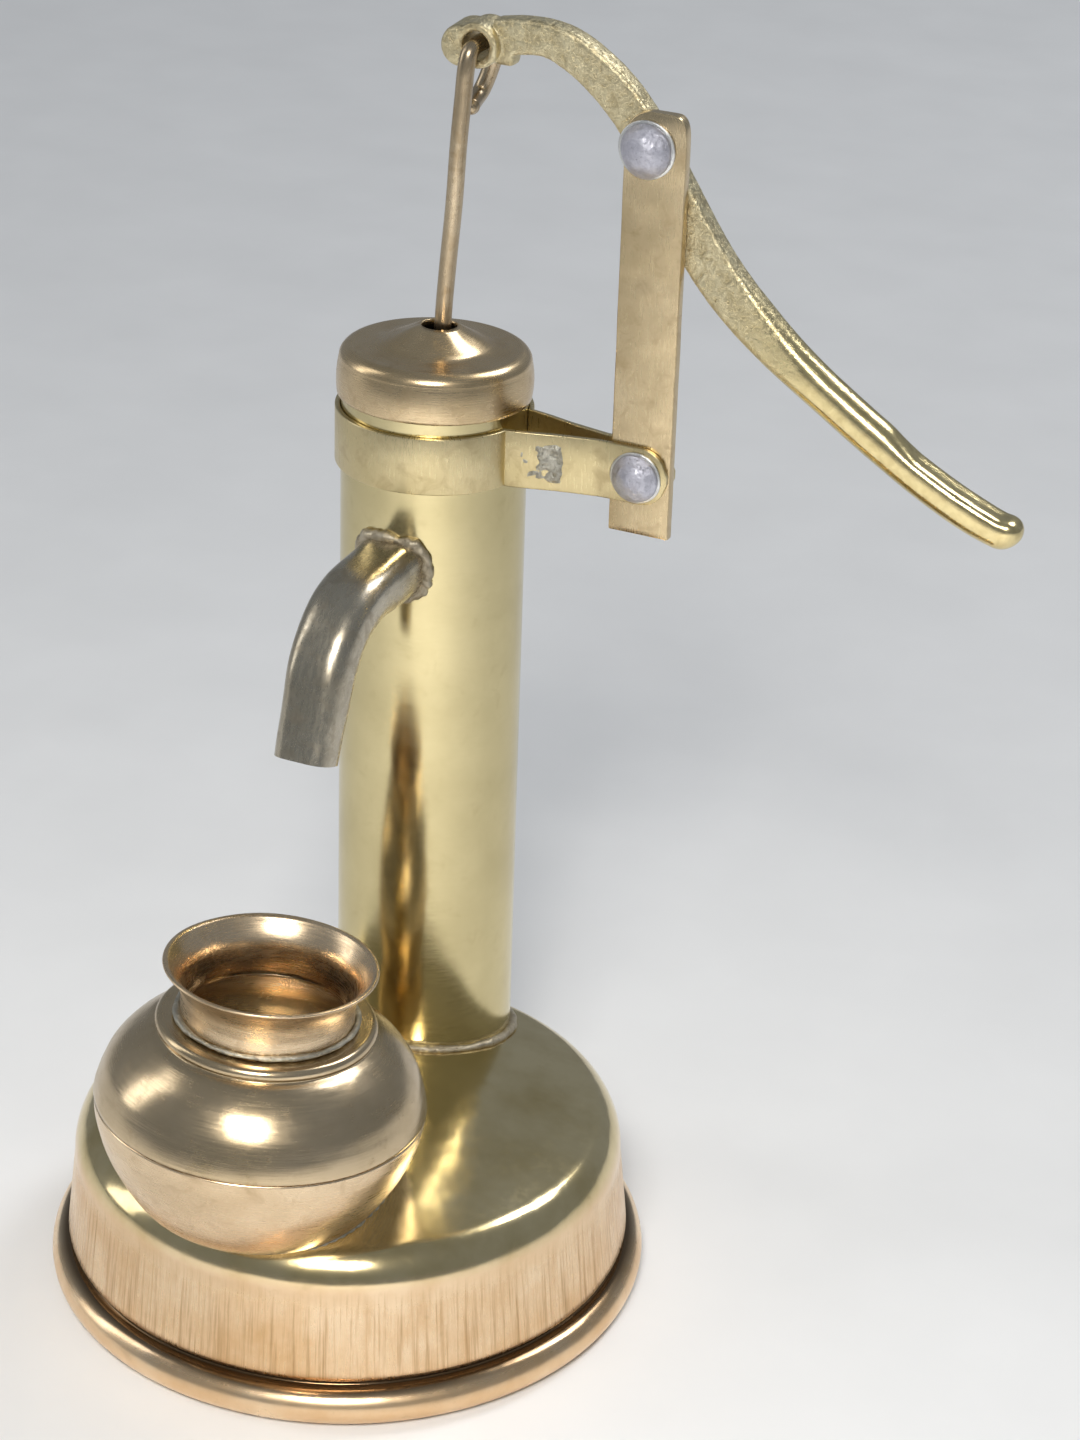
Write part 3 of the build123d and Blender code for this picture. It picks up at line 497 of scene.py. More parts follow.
CAP_TILT = radians(2.0)
CAP_UP = Vector((0, sin(CAP_TILT), cos(CAP_TILT)))
CAP_BACK = Vector((0, cos(CAP_TILT), -sin(CAP_TILT)))
CAP_AT = Vector((0, BY, 159.0)) - CAP_UP * 159.0
CAP_HOLE = (1.0, -1.14)
cap_profile = chain(
    [(16.1, 156.1), (16.3, 155.84)],
    arc3((16.45, 155.9), (16.63, 159.3), (16.25, 162.2), 12),
    arc3((16.25, 162.3), (15.5, 163.65), (13.9, 164.25), 8),
    [(12.6, 164.36), (11.4, 164.44), (10.4, 164.5), (9.8, 164.58), (9.4, 164.72), (9.0, 164.88)],
    [(9.0 - 5.9 * i / 8, 164.9 + 3.5 * i / 8) for i in range(1, 9)],
    [(3.02, 168.3), (3.0, 167.6)],
    [(3.2, 167.0), (8.6, 164.15), (14.0, 163.35), (16.05, 162.6), (16.1, 158.0)],
)


def cap_mesh():
    """The cap leans back a little, and its rod hole is off centre."""
    rings = []
    for r, h in cap_profile:
        ring = []
        for k in range(160):
            t = 2 * pi * k / 160
            f = max(0.0, min(1.0, 1 - (r - 3.0) / 6.0))
            wob = 0.1 * noise.noise(Vector((cos(t) * 1.6, sin(t) * 1.6, h * 0.2))) - 0.05
            rr = r + (wob * 0.7 if r > 16.2 else 0)
            lump = 0.16 * noise.noise(Vector((cos(t) * 2.2, sin(t) * 2.2, r * 0.3))) - 0.06
            hh = h + (lump if 3 < r < 14 and h > 164 else 0)
            side, back = rr * cos(t) + CAP_HOLE[0] * f, rr * sin(t) + CAP_HOLE[1] * f
            ring.append(tuple(CAP_AT + Vector((side, 0, 0)) + CAP_BACK * back + CAP_UP * hh))
        rings.append(ring)
    verts, faces, uvs = ring_mesh(rings, closed_path=True)
    return outward(new_piece("cap_pressed", verts, faces, uvs, "stand", mat_cap, ["cap"]))


cap_mesh()

# ---- clamp band and arms ---------------------------------------------------------------------------
BAND_MID_R = 16.365
BAND_MID_Z = 149.0
GAP = radians(17.0)
ARM_MID = 1.48
near_arm = [
    (43.4, -ARM_MID), (38.0, -ARM_MID), (33.0, -ARM_MID),
    (31.0, -ARM_MID - 0.12), (29.0, -ARM_MID - 0.5), (24.0, -ARM_MID - 1.5),
]
near_arm += [(19.5, -4.25), (17.2, -4.8), (BAND_MID_R * cos(GAP) - 0.2, -BAND_MID_R * sin(GAP) - 0.35)]
band_turns = np.linspace(radians(4), 2 * pi - 2 * GAP - radians(4), 110)
band_arc = [(BAND_MID_R * cos(-GAP - a), BAND_MID_R * sin(-GAP - a)) for a in band_turns]
far_arm = [(x, -y) for x, y in reversed(near_arm)]
band_path = chain(dense(near_arm, 0.8), band_arc, dense(far_arm, 0.8))


def band_section(x):
    """Half height of the strip, rounded off at the arm ends."""
    d = x - (43.4 - 4.8)
    if d <= 0:
        return 5.0
    return max(0.25, sqrt(max(0.0, 5.0**2 - (d * 5.0 / 4.85) ** 2)))


def band_mesh():
    rings = []
    n = len(band_path)
    for i, (x, y) in enumerate(band_path):
        x0, y0 = band_path[max(0, i - 1)]
        x1, y1 = band_path[min(n - 1, i + 1)]
        t = Vector((x1 - x0, y1 - y0)).normalized()
        nx, ny = -t.y, t.x
        half = band_section(x)
        z = BAND_MID_Z + 0.10 * noise.noise(Vector((x * 0.08, y * 0.08, 3.0)))
        ring = []
        for a, b in round_rect(0.9, 2 * half, 0.22 if half > 1 else 0.1, 3):
            ring.append((x + nx * a, BY + y + ny * a, min(153.98, max(144.02, z + b))))
        rings.append(ring)
    verts, faces, uvs = ring_mesh(rings)
    piece = new_piece("clamp_band_strip", verts, faces, uvs, "stand", mat_band, ["clamp_band"])
    return outward(piece)


sharpen(band_mesh(), 50)

# ---- link ------------------------------------------------------------------------------------------
LINK_X, LINK_HALF, LINK_Z0, LINK_Z1 = 38.3, 5.33, 138.25, 210.38
LINK_CURVE_Z = 205.6


def link_mesh():
    rings = []
    straight = [p[0] for p in dense([(LINK_Z0,), (LINK_Z0 + 0.3,), (LINK_CURVE_Z,)], 1.1)]
    rounded = [LINK_CURVE_Z + 4.78 * sin(radians(a)) for a in range(6, 91, 6)]
    for z in straight + rounded:
        left, right_ = -LINK_HALF, LINK_HALF
        if z > LINK_CURVE_Z:
            k = min(1.0, (z - LINK_CURVE_Z) / 4.78)
            left = -LINK_HALF + 4.6 * (1 - sqrt(1 - k * k))
            right_ = LINK_HALF - 2.2 * (1 - sqrt(1 - k * k)) ** 1.5
        edge = 0.05 * noise.noise(Vector((0.0, 2.0, z * 0.15)))
        w = right_ - left
        mid = (left + right_) / 2
        end = 0.85 if z < LINK_Z0 + 0.1 or z > LINK_Z1 - 0.05 else 1.0
        rings.append([(LINK_X + mid + a + edge, BY + b * end, z) for a, b in round_rect(w, 1.94, 0.28, 3)])
    verts, faces, uvs = ring_mesh(rings)
    return outward(new_piece("fulcrum_link", verts, faces, uvs, "stand", mat_link, ["link"]))


sharpen(link_mesh(), 50)


# ---- rivets ----------------------------------------------------------------------------------------
def rivet_head_profile(radius, height):
    rs = (radius**2 + (height - 0.5) ** 2) / (2 * (height - 0.5))
    top = asin(min(1, radius / rs))
    pts = [(rs * sin(top * (1 - i / 12)), height - rs + rs * cos(top * (1 - i / 12))) for i in range(13)]
    return chain([(radius - 0.25, 0.0), (radius, 0.15), (radius + 0.02, 0.4)], pts[1:-1], [(0.12, height - 0.01)])


def rivet_pieces(tag, x, z, front_y, back_y, head_r, head_h, washer_r):
    """Domed head, shank and formed tail in one turned piece along -Y, and the washer below the head."""
    seat = front_y - 0.5
    span = back_y - seat
    head = rivet_head_profile(head_r, head_h)
    tail_r = head_r * 0.82
    tail = [(r, -span - h) for r, h in reversed(rivet_head_profile(tail_r - 0.05, 1.85))]
    profile = chain(tail, [(tail_r - 0.2, -span), (1.98, -span), (1.98, 0.0)], head)

    def hammered(r, h, t):
        p = Vector((r * cos(t) * 0.33, r * sin(t) * 0.33, h * 0.3 + x))
        k = noise.fractal(p, 1.0, 2.0, 3)
        flat = noise.noise(Vector((cos(t) * 0.9, sin(t) * 0.9, z)))
        grow = 0.10 * flat * (r / head_r) if h > 0.3 or h < -span - 0.3 else 0
        return max(0.05, r * (1 + grow - (0.05 if r > 3 else 0))), h + (0.22 * k - 0.18 if h > 0.6 else 0)

    verts_obj = lathe(
        f"{tag}_rivet_peened", profile, "stand", mat_rivet, [f"{tag}_rivet"],
        (x, seat, z), (0, -1, 0), 64, hammered, closed=False,
    )
    ring = [
        (2.05, 0.02), (washer_r - 0.2, 0.02), (washer_r, 0.12),
        (washer_r, 0.36), (washer_r - 0.2, 0.48), (2.05, 0.48),
    ]

    def uneven(r, h, t):
        return r - (0.12 * (1 + noise.noise(Vector((cos(t), sin(t), x)))) if r > 3 else 0), h

    lathe(
        f"{tag}_rivet_washer_cut", ring, "stand", mat_washer, [f"{tag}_rivet_washer"],
        (x, front_y, z), (0, -1, 0), 64, uneven,
    )
    return verts_obj


ARM_OUT = 1.94
rivet_pieces("lower", 38.0, 148.8, BY - ARM_OUT, BY + ARM_OUT, 4.3, 2.7, 4.6)
rivet_pieces("upper", 37.0, 204.3, BY - 1.0, BY + 5.2, 4.6, 3.2, 5.0)

# ---- lever -------------------------------------------------------------------------------------------
LEVER_Y = BY + 3.1
EYE = (6.2, 216.2)
upper_edge = [
    (8.6, 220.3), (13.5, 221.0), (18.7, 220.9), (23.4, 219.6),
    (28.4, 216.7), (33.0, 212.9), (38.0, 206.9), (42.8, 199.4),
    (47.4, 192.3), (51.6, 186.6), (57.6, 180.4), (64.4, 174.4),
    (72.6, 168.5), (81.5, 162.8), (90.4, 157.9), (97.0, 154.9),
    (101.0, 153.4),
]
lower_edge = [
    (8.6, 213.6), (12.6, 215.3), (17.4, 215.7), (21.2, 214.1),
    (24.6, 211.9), (28.2, 208.7), (31.6, 204.7), (35.8, 197.6),
    (40.0, 190.3), (44.3, 183.9), (50.0, 177.5), (57.4, 171.3),
    (66.8, 164.9), (76.4, 158.6), (85.9, 152.9), (93.4, 149.3),
    (98.4, 147.6),
]
LUMP = (-2.9, -0.5)
VOXEL, QUICK_VOXEL = 0.00032, 0.0005


def lump_reach(direction, y):
    """How far the rounded lump of casting beside the eye reaches from the eye's axis."""
    swell = 1 - ((y - 0.2) / 3.6) ** 2
    radius = 2.9 + 1.3 * max(0.0, swell)
    along = direction[0] * LUMP[0] + direction[1] * LUMP[1]
    inside = radius**2 - LUMP[0] ** 2 - LUMP[1] ** 2 + along**2
    return along + sqrt(inside) if inside > 0 else 0.0


def lever_mesh():
    up = smooth(upper_edge, 7)
    down = smooth(lower_edge, 7)
    n = len(up)
    rings = []
    for i, ((ux, uz), (lx, lz)) in enumerate(zip(up, down)):
        s = i / (n - 1)
        mid = Vector(((ux + lx) / 2, 0, (uz + lz) / 2))
        across = Vector((ux - lx, 0, uz - lz))
        h = across.length
        across.normalize()
        grip = min(1.0, max(0.0, (s - 0.56) / 0.16))
        thick = 3.5 + grip * 2.0
        corner = 0.55 + grip * 2.1
        scoop = max(0.0, min(1.0, (s - 0.80) / 0.04)) * max(0.0, min(1.0, (1.03 - s) / 0.05))
        ring = []
        for a, b in round_rect(thick, h, min(corner, h / 2 - 0.05), 5):
            if scoop > 0 and b > 0:
                b -= scoop * 1.5 * (b / (h / 2)) * max(0.0, 1 - (a / (thick * 0.56)) ** 2)
            p = mid + across * b
            ring.append((p.x, LEVER_Y + a, p.z))
        rings.append(ring)
    # blunt end
    last = np.array(rings[-1])
    center = last.mean(0)
    way = np.array(rings[-1]).mean(0) - np.array(rings[-3]).mean(0)
    way /= np.linalg.norm(way)
    for k in range(1, 7):
        a = k * pi / 12
        shrink = cos(a) if k < 6 else 0.12
        rings.append((last - center) * shrink + center + way * sin(a) * 2.9)
    verts, faces, _ = ring_mesh([np.array(r) for r in rings])
    # boss ring
    boss = [
        (2.42, -3.3), (2.62, -3.5), (3.2, -3.5), (3.5, -3.25), (3.58, -2.9),
        (3.58, 2.9), (3.5, 3.25), (3.2, 3.5), (2.62, 3.5), (2.42, 3.3),
    ]
    boss_rings = []
    for r, y in boss:
        ring = []
        for k in range(72):
            c, d = cos(2 * pi * k / 72), sin(2 * pi * k / 72)
            reach = max(r, lump_reach((c, d), y) - (3.58 - r) * 0.6) if r > 3 else r
            ring.append((EYE[0] + reach * c, LEVER_Y + y, EYE[1] + reach * d))
        boss_rings.append(ring)
    bv, bf, _ = ring_mesh(boss_rings, closed_path=True)
    # web between the boss and the arm
    web = []
    for k in range(9):
        x = 9.0 + k * 0.35
        web.append([(x, LEVER_Y + a, 216.5 + b) for a, b in round_rect(3.5, 6.4, 0.8, 4)])
    wv, wf, _ = ring_mesh(web)
    all_v, all_f = list(verts), list(faces)
    for v, f in ((bv, bf), (wv, wf)):
        base_i = len(all_v)
        all_v += v
        all_f += [tuple(i + base_i for i in q) for q in f]
    mesh = bpy.data.meshes.new("lever_parts")
    mesh.from_pydata([tuple(float(c) * MM for c in v) for v in all_v], [], all_f)
    bm = bmesh.new()
    bm.from_mesh(mesh)
    bmesh.ops.recalc_face_normals(bm, faces=bm.faces)
    bm.to_mesh(mesh)
    bm.free()
    obj = bpy.data.objects.new("lever_parts", mesh)
    bpy.context.scene.collection.objects.link(obj)
    mod = obj.modifiers.new("join", "REMESH")
    mod.mode = "VOXEL"
    mod.voxel_size = VOXEL
    ease = obj.modifiers.new("ease", "SMOOTH")
    ease.factor = 0.5
    ease.iterations = 3
    deps = bpy.context.evaluated_depsgraph_get()
    final = bpy.data.meshes.new_from_object(obj.evaluated_get(deps))
    bpy.data.objects.remove(obj)
    final.name = "lever_cast"
    final.materials.clear()
    piece = bpy.data.objects.new("lever_cast", final)
    bpy.context.scene.collection.objects.link(piece)
    # rough cast skin, smoother on the grip and inside the eye
    for v in final.vertices:
        x, y, z = v.co / MM
        far = sqrt((x - EYE[0]) ** 2 + (z - EYE[1]) ** 2)
        skin = 0.10 * min(1.0, max(0.12, (62.0 - x) / 14.0))
        if far < 3.2:
            skin = 0.0
        k = noise.fractal(Vector((x, y, z)) * 0.55, 1.0, 2.0, 4)
        big = noise.noise(Vector((x, y, z)) * 0.16)
        v.co += v.normal * ((0.24 if far > 3.2 else 0.05) - skin * 0.6 * abs(k) - 0.05 * max(0.0, big)) * MM
    final.polygons.foreach_set("use_smooth", [True] * len(final.polygons))
    final.materials.append(mat_lever)
    final.update()
    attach(piece, "lever")
    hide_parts("lever")
    return piece


lever_mesh()

# ---- pump rod ----------------------------------------------------------------------------------------
WIRE_R = 1.43
WIRE_CIRCLE = [(cos(2 * pi * k / 20), sin(2 * pi * k / 20)) for k in range(20)]
ROD_FRONT = LEVER_Y - 3.5 - 0.45 - 1.45
ROD_BACK = LEVER_Y + 3.5 + 0.45 + 1.45
rod_path = [
    (0.75, BY, 121.0), (0.9, BY - 0.1, 140.0), (1.1, BY - 0.3, 155.0),
    (1.55, BY - 0.65, 169.0), (2.5, BY - 1.15, 179.0),
    (3.7, BY - 1.75, 190.0), (4.55, ROD_FRONT, 200.0),
    (5.2, ROD_FRONT, 208.0), (5.6, ROD_FRONT + 0.05, 213.0),
    (5.85, ROD_FRONT + 1.0, 215.6), (6.05, LEVER_Y - 1.6, 216.25),
    (6.35, LEVER_Y + 1.6, 216.15), (6.35, ROD_BACK - 1.1, 215.5),
    (5.8, ROD_BACK - 0.05, 213.2), (4.75, ROD_BACK - 0.05, 209.6), (3.9, ROD_BACK - 0.9, 206.8),
    (3.75, ROD_BACK - 3.0, 205.7), (4.4, LEVER_Y - 0.6, 205.5), (5.15, ROD_FRONT + 3.4, 205.3),
]


def rod_mesh():
    path = smooth(rod_path, 8)
    n = len(path)

    def section(i):
        taper = 1.0 if i < n - 6 else 1.0 - 0.09 * (i - (n - 6))
        return [(WIRE_R * taper * c, WIRE_R * taper * d) for c, d in WIRE_CIRCLE]

    rings = []
    pts = [Vector(p) for p in path]
    t_prev = (pts[1] - pts[0]).normalized()
    side = t_prev.cross(Vector((0, 1, 0))).normalized()
    length = [0.0]
    for a, b in zip(pts, pts[1:]):
        length.append(length[-1] + (b - a).length)
    for i, p in enumerate(pts):
        t = (pts[min(i + 1, n - 1)] - pts[max(i - 1, 0)]).normalized()
        side = (side - t * side.dot(t)).normalized()
        up = t.cross(side)
        along = length[i] * 0.05
        wob = Vector((noise.noise(Vector((0.0, 5.0, along))), noise.noise(Vector((9.0, 5.0, along))), 0)) * 0.12
        rings.append([tuple(p + wob + side * a + up * b) for a, b in section(i)])
    verts, faces, uvs = ring_mesh(rings)
    # lower ring round the piston's pin
    ring_r = 1.0 + 1.7 + 1.45
    eye_rings = []
    for j in range(48):
        a = 2 * pi * j / 48
        c = Vector((0.55 + ring_r * cos(a), BY, 116.0 + ring_r * sin(a)))
        radial = Vector((cos(a), 0, sin(a)))
        eye_rings.append([tuple(c + radial * (WIRE_R * u) + Vector((0, WIRE_R * v, 0))) for u, v in WIRE_CIRCLE])
    ev, ef, euv = ring_mesh(eye_rings, closed_path=True)
    base_i = len(verts)
    verts = list(verts) + ev
    faces = list(faces) + [tuple(i + base_i for i in f) for f in ef]
    uvs = list(uvs) + euv
    piece = new_piece("pump_rod_wire", verts, faces, uvs, "rod", mat_rod, ["pump_rod"])
    return outward(piece)


rod_mesh()

# ---- spout -------------------------------------------------------------------------------------------
SPOUT_Z, TIP_S, TIP_Z, TURN, BEND_R = 130.0, 45.5, 107.0, radians(70), 16.0


def spout_line():
    """(s, z, direction) along the spout: level out of the barrel, one bend, then straight down."""
    knee = TIP_S - (SPOUT_Z - TIP_Z) * cos(TURN) / sin(TURN)
    cut = BEND_R * sin(TURN / 2) / cos(TURN / 2)
    out = [(9 + (knee - cut - 9) * i / 14, SPOUT_Z, 0.0) for i in range(14)]
    cx, cz = knee - cut, SPOUT_Z - BEND_R
    out += [(cx + BEND_R * sin(TURN * i / 22), cz + BEND_R * cos(TURN * i / 22), TURN * i / 22) for i in range(23)]
    sx, sz = out[-1][0], out[-1][1]
    out += [(sx + (TIP_S - sx) * i / 16, sz + (TIP_Z - sz) * i / 16, TURN) for i in range(1, 17)]
    return out


def spout_mesh():
    line = spout_line()
    lens = [0.0]
    for a, b in zip(line, line[1:]):
        lens.append(lens[-1] + sqrt((b[0] - a[0]) ** 2 + (b[1] - a[1]) ** 2))
    outer, inner = [], []
    for (s, z, turn), d in zip(line, lens):
        t = d / lens[-1]
        for rings, wall in ((outer, 0.0), (inner, 0.9)):
            w = 12.6 - 2.1 * t - 2 * wall
            h = 10.4 - 2.5 * t - 2 * wall
            ring = []
            for a, b in round_rect(w, h, min(w, h) * (0.40 if wall == 0 else 0.42), 7):
                up = (sin(turn), cos(turn))
                dent = 0.0 if wall else 0.16 * noise.noise(Vector((a * 0.25, b * 0.25, d * 0.12))) - 0.10
                k = 1 + dent / max(w, h) * 2
                flat = 1 - 0.05 * (1 if b > 0 else 0) * abs(sin(pi * t))
                ring.append((a * k, BY - (s + up[0] * b * k * flat), z + up[1] * b * k * flat))
            rings.append(ring)
    first = 0
    while line[first][0] < 15.2:
        first += 1
    rings = outer[first - 1 :] + list(reversed(inner[first - 1 :]))
    verts, faces, uvs = ring_mesh(rings, closed_path=True)
    piece = new_piece("spout_folded", verts, faces, uvs, "stand", mat_spout, ["spout"])
    return outward(piece)


sharpen(spout_mesh(), 60)


def blob_ring(name, center_of, count, mat, tube, body, stands_for, seed, lump=0.5):
    """Lumpy bead of solder along a closed loop; center_of(k) gives a point and its two cross axes."""
    rings = []
    for i in range(count):
        a = 2 * pi * i / count
        c, u, v = center_of(a)
        ring = []
        for k in range(14):
            b = 2 * pi * k / 14
            q = Vector((cos(a) * 2.2, sin(a) * 2.2, seed))
            q2 = Vector((cos(a) * 7.0, sin(a) * 7.0, seed + cos(b)))
            grow = tube * (1 + lump * noise.noise(q) + 0.5 * lump * noise.noise(q2))
            ring.append(tuple(Vector(c) + Vector(u) * (grow * cos(b)) + Vector(v) * (grow * 0.8 * sin(b))))
        rings.append(ring)
    verts, faces, uvs = ring_mesh(rings, closed_path=True)
    return outward(new_piece(name, verts, faces, uvs, body, mat, stands_for))


# solder round the barrel's foot lies on the dome
def dome_z(r):
    if r <= 44.2:
        return 36.8 - 171.3 + sqrt(171.3**2 - r * r)
    return 31.0 - (r - 44.2) * 1.6


def foot_bead(a):
    x, y = 16.3 * cos(a), BY + 16.3 * sin(a)
    r = sqrt(x * x + y * y)
    return (x, y, dome_z(r) + 0.25), (cos(a), sin(a), 0), (0, 0, 1)


blob_ring("foot_solder_bead", foot_bead, 160, mat_saddle, 0.85, "stand", ["barrel_foot_solder"], 3.0)


def spout_bead(a):
    w, h = 12.4 / 2 + 0.1, 10.2 / 2 + 0.1
    n = 2.7
    c, s = cos(a), sin(a)
    k = (abs(c) ** n + abs(s) ** n) ** (-1 / n)
    x, z = w * k * c, SPOUT_Z + h * k * s
    y = BY - sqrt(15.9**2 - min(x * x, 200)) - 0.3
    return (x, y, z), (c, 0, s), (0, -1, 0)


blob_ring("spout_solder_bead", spout_bead, 96, mat_saddle, 1.15, "stand", ["spout_solder"], 8.0, 0.75)


# solder patch on the near arm
def patch_mesh():
    nx, nz = 34, 34
    front, back = [], []
    for j in range(nz):
        for i in range(nx):
            u, v = i / (nx - 1), j / (nz - 1)
            x = 17.2 + 8.8 * u
            y_arm = -ARM_MID - 0.45 - (31.0 - x) * 0.2 - 0.02
            edge = min(u, 1 - u, v, 1 - v)
            ragged = 0.06 + 0.05 * noise.noise(Vector((u * 5, v * 5, 2.0)))
            k = max(0.0, min(1.0, (edge - ragged) / 0.10))
            lump = 0.35 + 0.28 * noise.fractal(Vector((u * 4.5, v * 4.5, 9.0)), 1.0, 2.0, 4)
            z = 144.7 + 8.2 * v
            front.append((x, BY + y_arm - k * max(0.05, lump), z))
            back.append((x, BY + y_arm + 0.3, z))
    faces, uvs = [], []
    m = nx * nz
    for j in range(nz - 1):
        for i in range(nx - 1):
            a = j * nx + i
            faces += [(a, a + 1, a + nx + 1, a + nx), (m + a, m + a + nx, m + a + nx + 1, m + a + 1)]
            uvs += [((0, 0), (1, 0), (1, 1), (0, 1))] * 2
    rim = [i for i in range(nx)]
    rim += [j * nx + nx - 1 for j in range(1, nz)]
    rim += [(nz - 1) * nx + i for i in range(nx - 2, -1, -1)]
    rim += [j * nx for j in range(nz - 2, 0, -1)]
    for a, b in zip(rim, rim[1:] + rim[:1]):
        faces.append((b, a, m + a, m + b))
        uvs.append(((0, 0), (1, 0), (1, 1), (0, 1)))
    piece = new_piece("clamp_solder_patch", front + back, faces, uvs, "stand", mat_solder, ["clamp_solder"])
    return outward(piece)


patch_mesh()

# ---- pot ---------------------------------------------------------------------------------------------
LEAN, LEAN_DIR = radians(4.5), radians(51.0)
lean = Vector((cos(LEAN_DIR), sin(LEAN_DIR), 0))
POT_UP = lean * sin(LEAN) + Vector((0, 0, 1)) * cos(LEAN)
POT_AT = Vector((-1.6, -32.2, 30.0)) - POT_UP * 30.0
SEAM_Z, COLLAR_Z, NECK_R = 50.2, 65.9, 14.6


def pot_warp(r, h, t):
    k = 0.006 * noise.noise(Vector((cos(t) * 1.2, sin(t) * 1.2, h * 0.05)))
    return r * (1 + min(0.0, k - 0.001)), h


bowl_profile = chain(
    smooth([(12.0, 28.2), (19.5, 31.6), (24.9, 39.5), (27.3, 46.0), (27.92, SEAM_Z - 0.15)], 9),
    [(27.3, SEAM_Z - 0.05)],
    smooth([(26.9, SEAM_Z - 1.0), (23.9, 39.6), (18.7, 32.4), (11.9, 29.2)], 9),
)
# the bowl takes the lighter copy of the pot brass: painted light
lathe(
    "pot_bowl_spun", bowl_profile, "stand", mat_bowl_painted_light, ["pot_bowl"], POT_AT, POT_UP, 192, pot_warp,
)
body_profile = chain(
    [(27.2, SEAM_Z + 0.02), (27.75, SEAM_Z + 0.02), (27.97, SEAM_Z + 0.25), (27.9, SEAM_Z + 0.9)],
    smooth([(27.25, 53.5), (25.9, 56.8), (23.4, 60.1), (20.3, 62.7), (18.4, 63.7)], 7),
    arc3((18.3, 63.8), (18.35, 65.3), (17.3, 65.85), 8),
    [(16.2, 65.7), (15.4, 65.75), (14.2, 65.85), (13.95, 65.6), (14.4, 65.05), (17.0, 65.0), (17.6, 63.4)],
    smooth([(19.7, 61.9), (22.7, 59.3), (25.2, 56.1), (26.5, 53.1), (27.1, SEAM_Z + 0.6)], 7),
)
# the body takes the darker copy of the pot brass: painted shade
lathe(
    "pot_body_spun", body_profile, "stand", mat_pot_painted_shade, ["pot_body"], POT_AT, POT_UP, 192, pot_warp,
)
neck_profile = chain(
    [(13.75, COLLAR_Z), (14.55, COLLAR_Z)],
    smooth([(NECK_R, 66.4), (NECK_R - 0.05, 69.0), (15.2, 71.8), (16.4, 74.0), (17.6, 75.25)], 7),
    arc3((17.6, 75.25), (17.88, 75.65), (17.5, 75.78), 5),
    smooth([(17.0, 75.6), (15.7, 74.1), (14.5, 72.0), (13.85, 69.2), (13.72, 66.6)], 7),
)


def neck_warp(r, h, t):
    """The flared rim is a little oval and uneven."""
    k = max(0.0, (h - 70) / 6.0)
    oval = -0.012 * (1 - cos(2 * (t - 0.4))) * k
    return r * (1 + oval), h + k * (0.18 * noise.noise(Vector((cos(t) * 1.5, sin(t) * 1.5, 1.0))) - 0.15)


lathe(
    "pot_neck_flared", neck_profile, "stand", mat_bowl_painted_light, ["pot_neck"], POT_AT, POT_UP, 192, neck_warp,
)


def neck_bead(a):
    other = POT_UP.cross(lean_side)
    d = lean_side * cos(a) + other * sin(a)
    return tuple(POT_AT + d * 15.1 + POT_UP * 66.35), tuple(d), tuple(POT_UP)


lean_side = (Vector((1, 0, 0)) - POT_UP * POT_UP.x).normalized()
blob_ring("pot_neck_solder_bead", neck_bead, 140, mat_solder, 0.55, "stand", ["pot_neck_solder"], 5.0)


def pot_foot_bead(a):
    """Walks down the bowl until it meets the dome, in each direction round the pot."""
    other = POT_UP.cross(lean_side)
    d = lean_side * cos(a) + other * sin(a)
    outline = smooth([(27.9, 50.0), (27.3, 46.0), (24.9, 39.5), (19.5, 31.6), (12.0, 28.2)], 16)
    for r, h in outline:
        p = POT_AT + d * r + POT_UP * h
        if p.z < dome_z(sqrt(p.x**2 + p.y**2)) + 0.1:
            break
    return tuple(p), tuple(d), (0, 0, 1)


blob_ring("pot_foot_solder_bead", pot_foot_bead, 150, mat_solder, 0.5, "stand", ["pot_foot_solder"], 6.0)

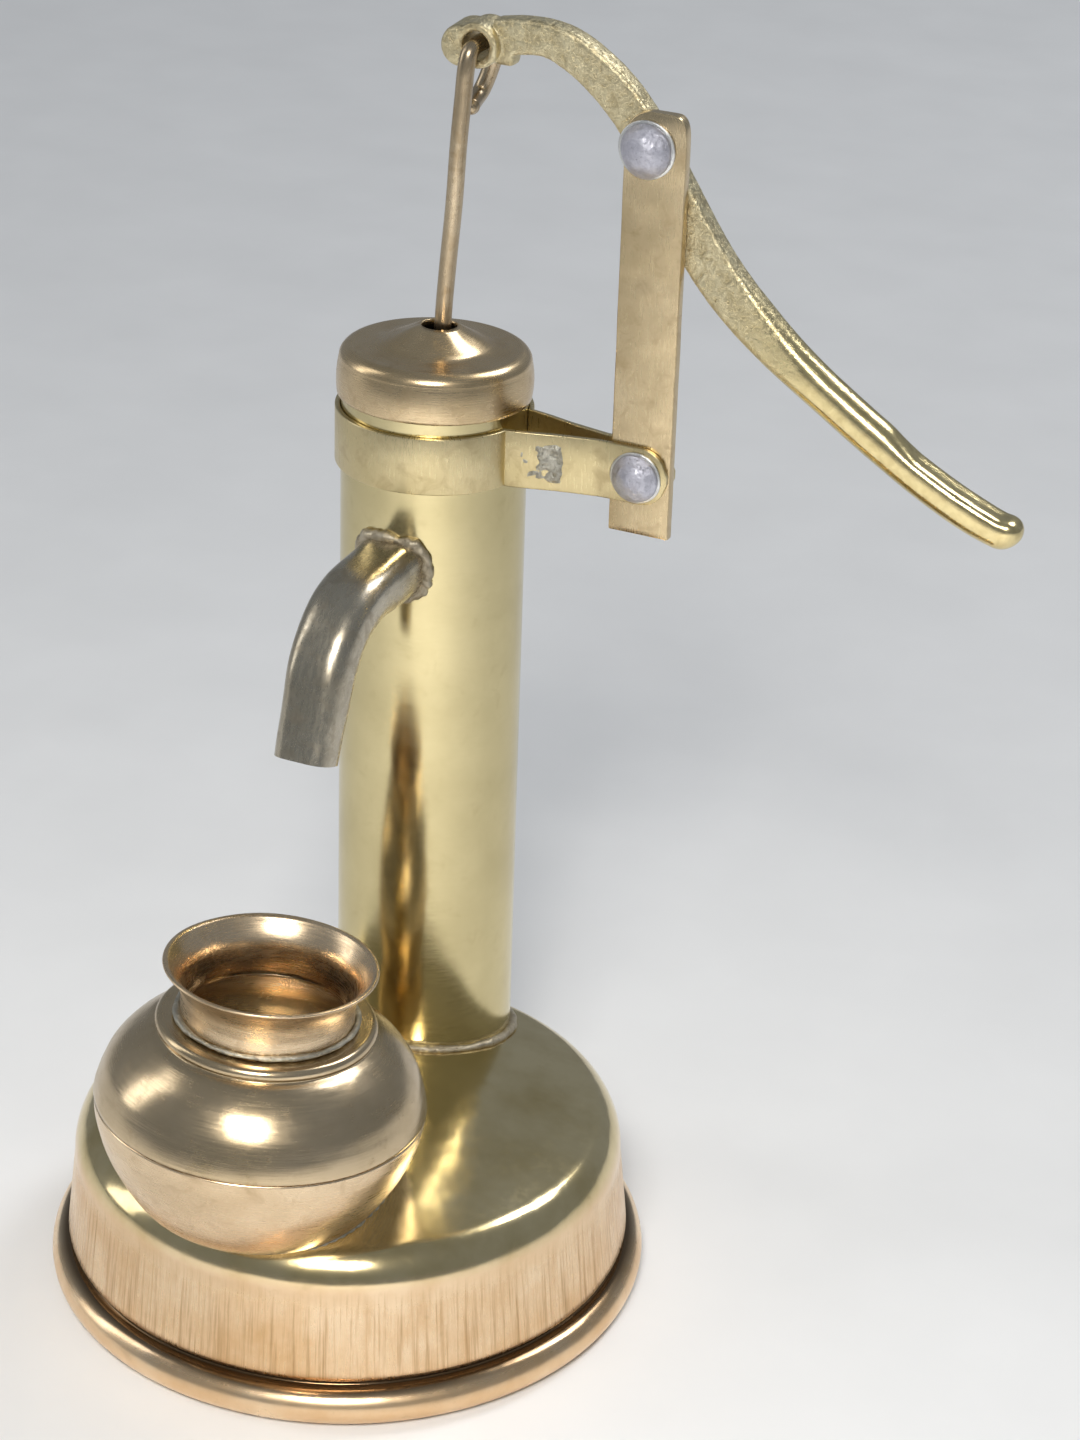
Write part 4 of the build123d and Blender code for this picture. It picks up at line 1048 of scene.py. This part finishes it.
# ---- CAD nodes that keep their own shape --------------------------------------------------------
inner_mats = {
    "base_plate": mat_band, "pot_floor": mat_pot_painted_shade, "cap_solder": mat_saddle, "piston_yoke": mat_inner, "piston_stud": mat_inner,
    "piston_follower": mat_inner, "piston_nut": mat_inner, "piston_pin": mat_steel, "foot_valve_ball": mat_steel,
    "foot_valve_seat": mat_inner, "foot_valve_cage": mat_inner, "suction_tube": mat_inner,
    "piston_cup": mat_leather, "piston_valve": mat_leather,
}
for node, mat in inner_mats.items():
    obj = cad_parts[node]
    obj.data.materials.clear()
    obj.data.materials.append(mat)

# ---- floor and light -----------------------------------------------------------------------------------
bpy.ops.mesh.primitive_plane_add(size=8, location=(0, 1.0, 0))
floor = bpy.context.object
floor.name = "studio_floor"
fm = Nodes("floor_paint")
paper = fm.noise(fm.mapped("Object", (1, 1, 1)), 30, 4, 0.5)
paper_color = fm.mix(fm.levels(paper, 0.3, 0.7, 0, 1), (0.80, 0.80, 0.80), (0.83, 0.83, 0.83))
fm.finish(paper_color, fm.levels(paper, 0.3, 0.7, 0.7, 0.8), None, 0.0)
floor.data.materials.append(fm.mat)

world = bpy.data.worlds.new("studio")
bpy.context.scene.world = world
world.use_nodes = True
wt = world.node_tree
wt.nodes.clear()
w_out = wt.nodes.new("ShaderNodeOutputWorld")
w_bg = wt.nodes.new("ShaderNodeBackground")
w_bg.inputs["Color"].default_value = (0.85, 0.92, 1.0, 1)
w_bg.inputs["Strength"].default_value = 0.26
wt.links.new(w_bg.outputs[0], w_out.inputs[0])


def area(name, at, target, size, power, color=(1, 1, 1), size_y=None):
    light = bpy.data.lights.new(name, "AREA")
    light.energy = power
    light.size = size
    if size_y:
        light.shape = "RECTANGLE"
        light.size_y = size_y
    light.color = color
    obj = bpy.data.objects.new(name, light)
    obj.location = at
    obj.rotation_euler = (Vector(target) - Vector(at)).to_track_quat("-Z", "Y").to_euler()
    bpy.context.scene.collection.objects.link(obj)
    return obj


area("key_softbox", (0.42, -0.95, 1.0), (0, 0, 0.1), 0.22, 5.5, (1.0, 0.97, 0.92))
area("left_strip", (-1.2, -0.35, 0.7), (0, 0, 0.1), 0.35, 3, (1.0, 0.98, 0.95), 1.2)
area("top_panel", (0.6, 1.0, 1.5), (0, 0, 0.1), 0.6, 11, (0.97, 0.98, 1.0))
pool = area("front_pool", (0.17, -0.50, 0.55), (0.09, -0.25, 0), 0.20, 0.8, (1.0, 0.97, 0.92))
pool.data.spread = radians(75)

bpy.context.scene.view_settings.view_transform = "Standard"
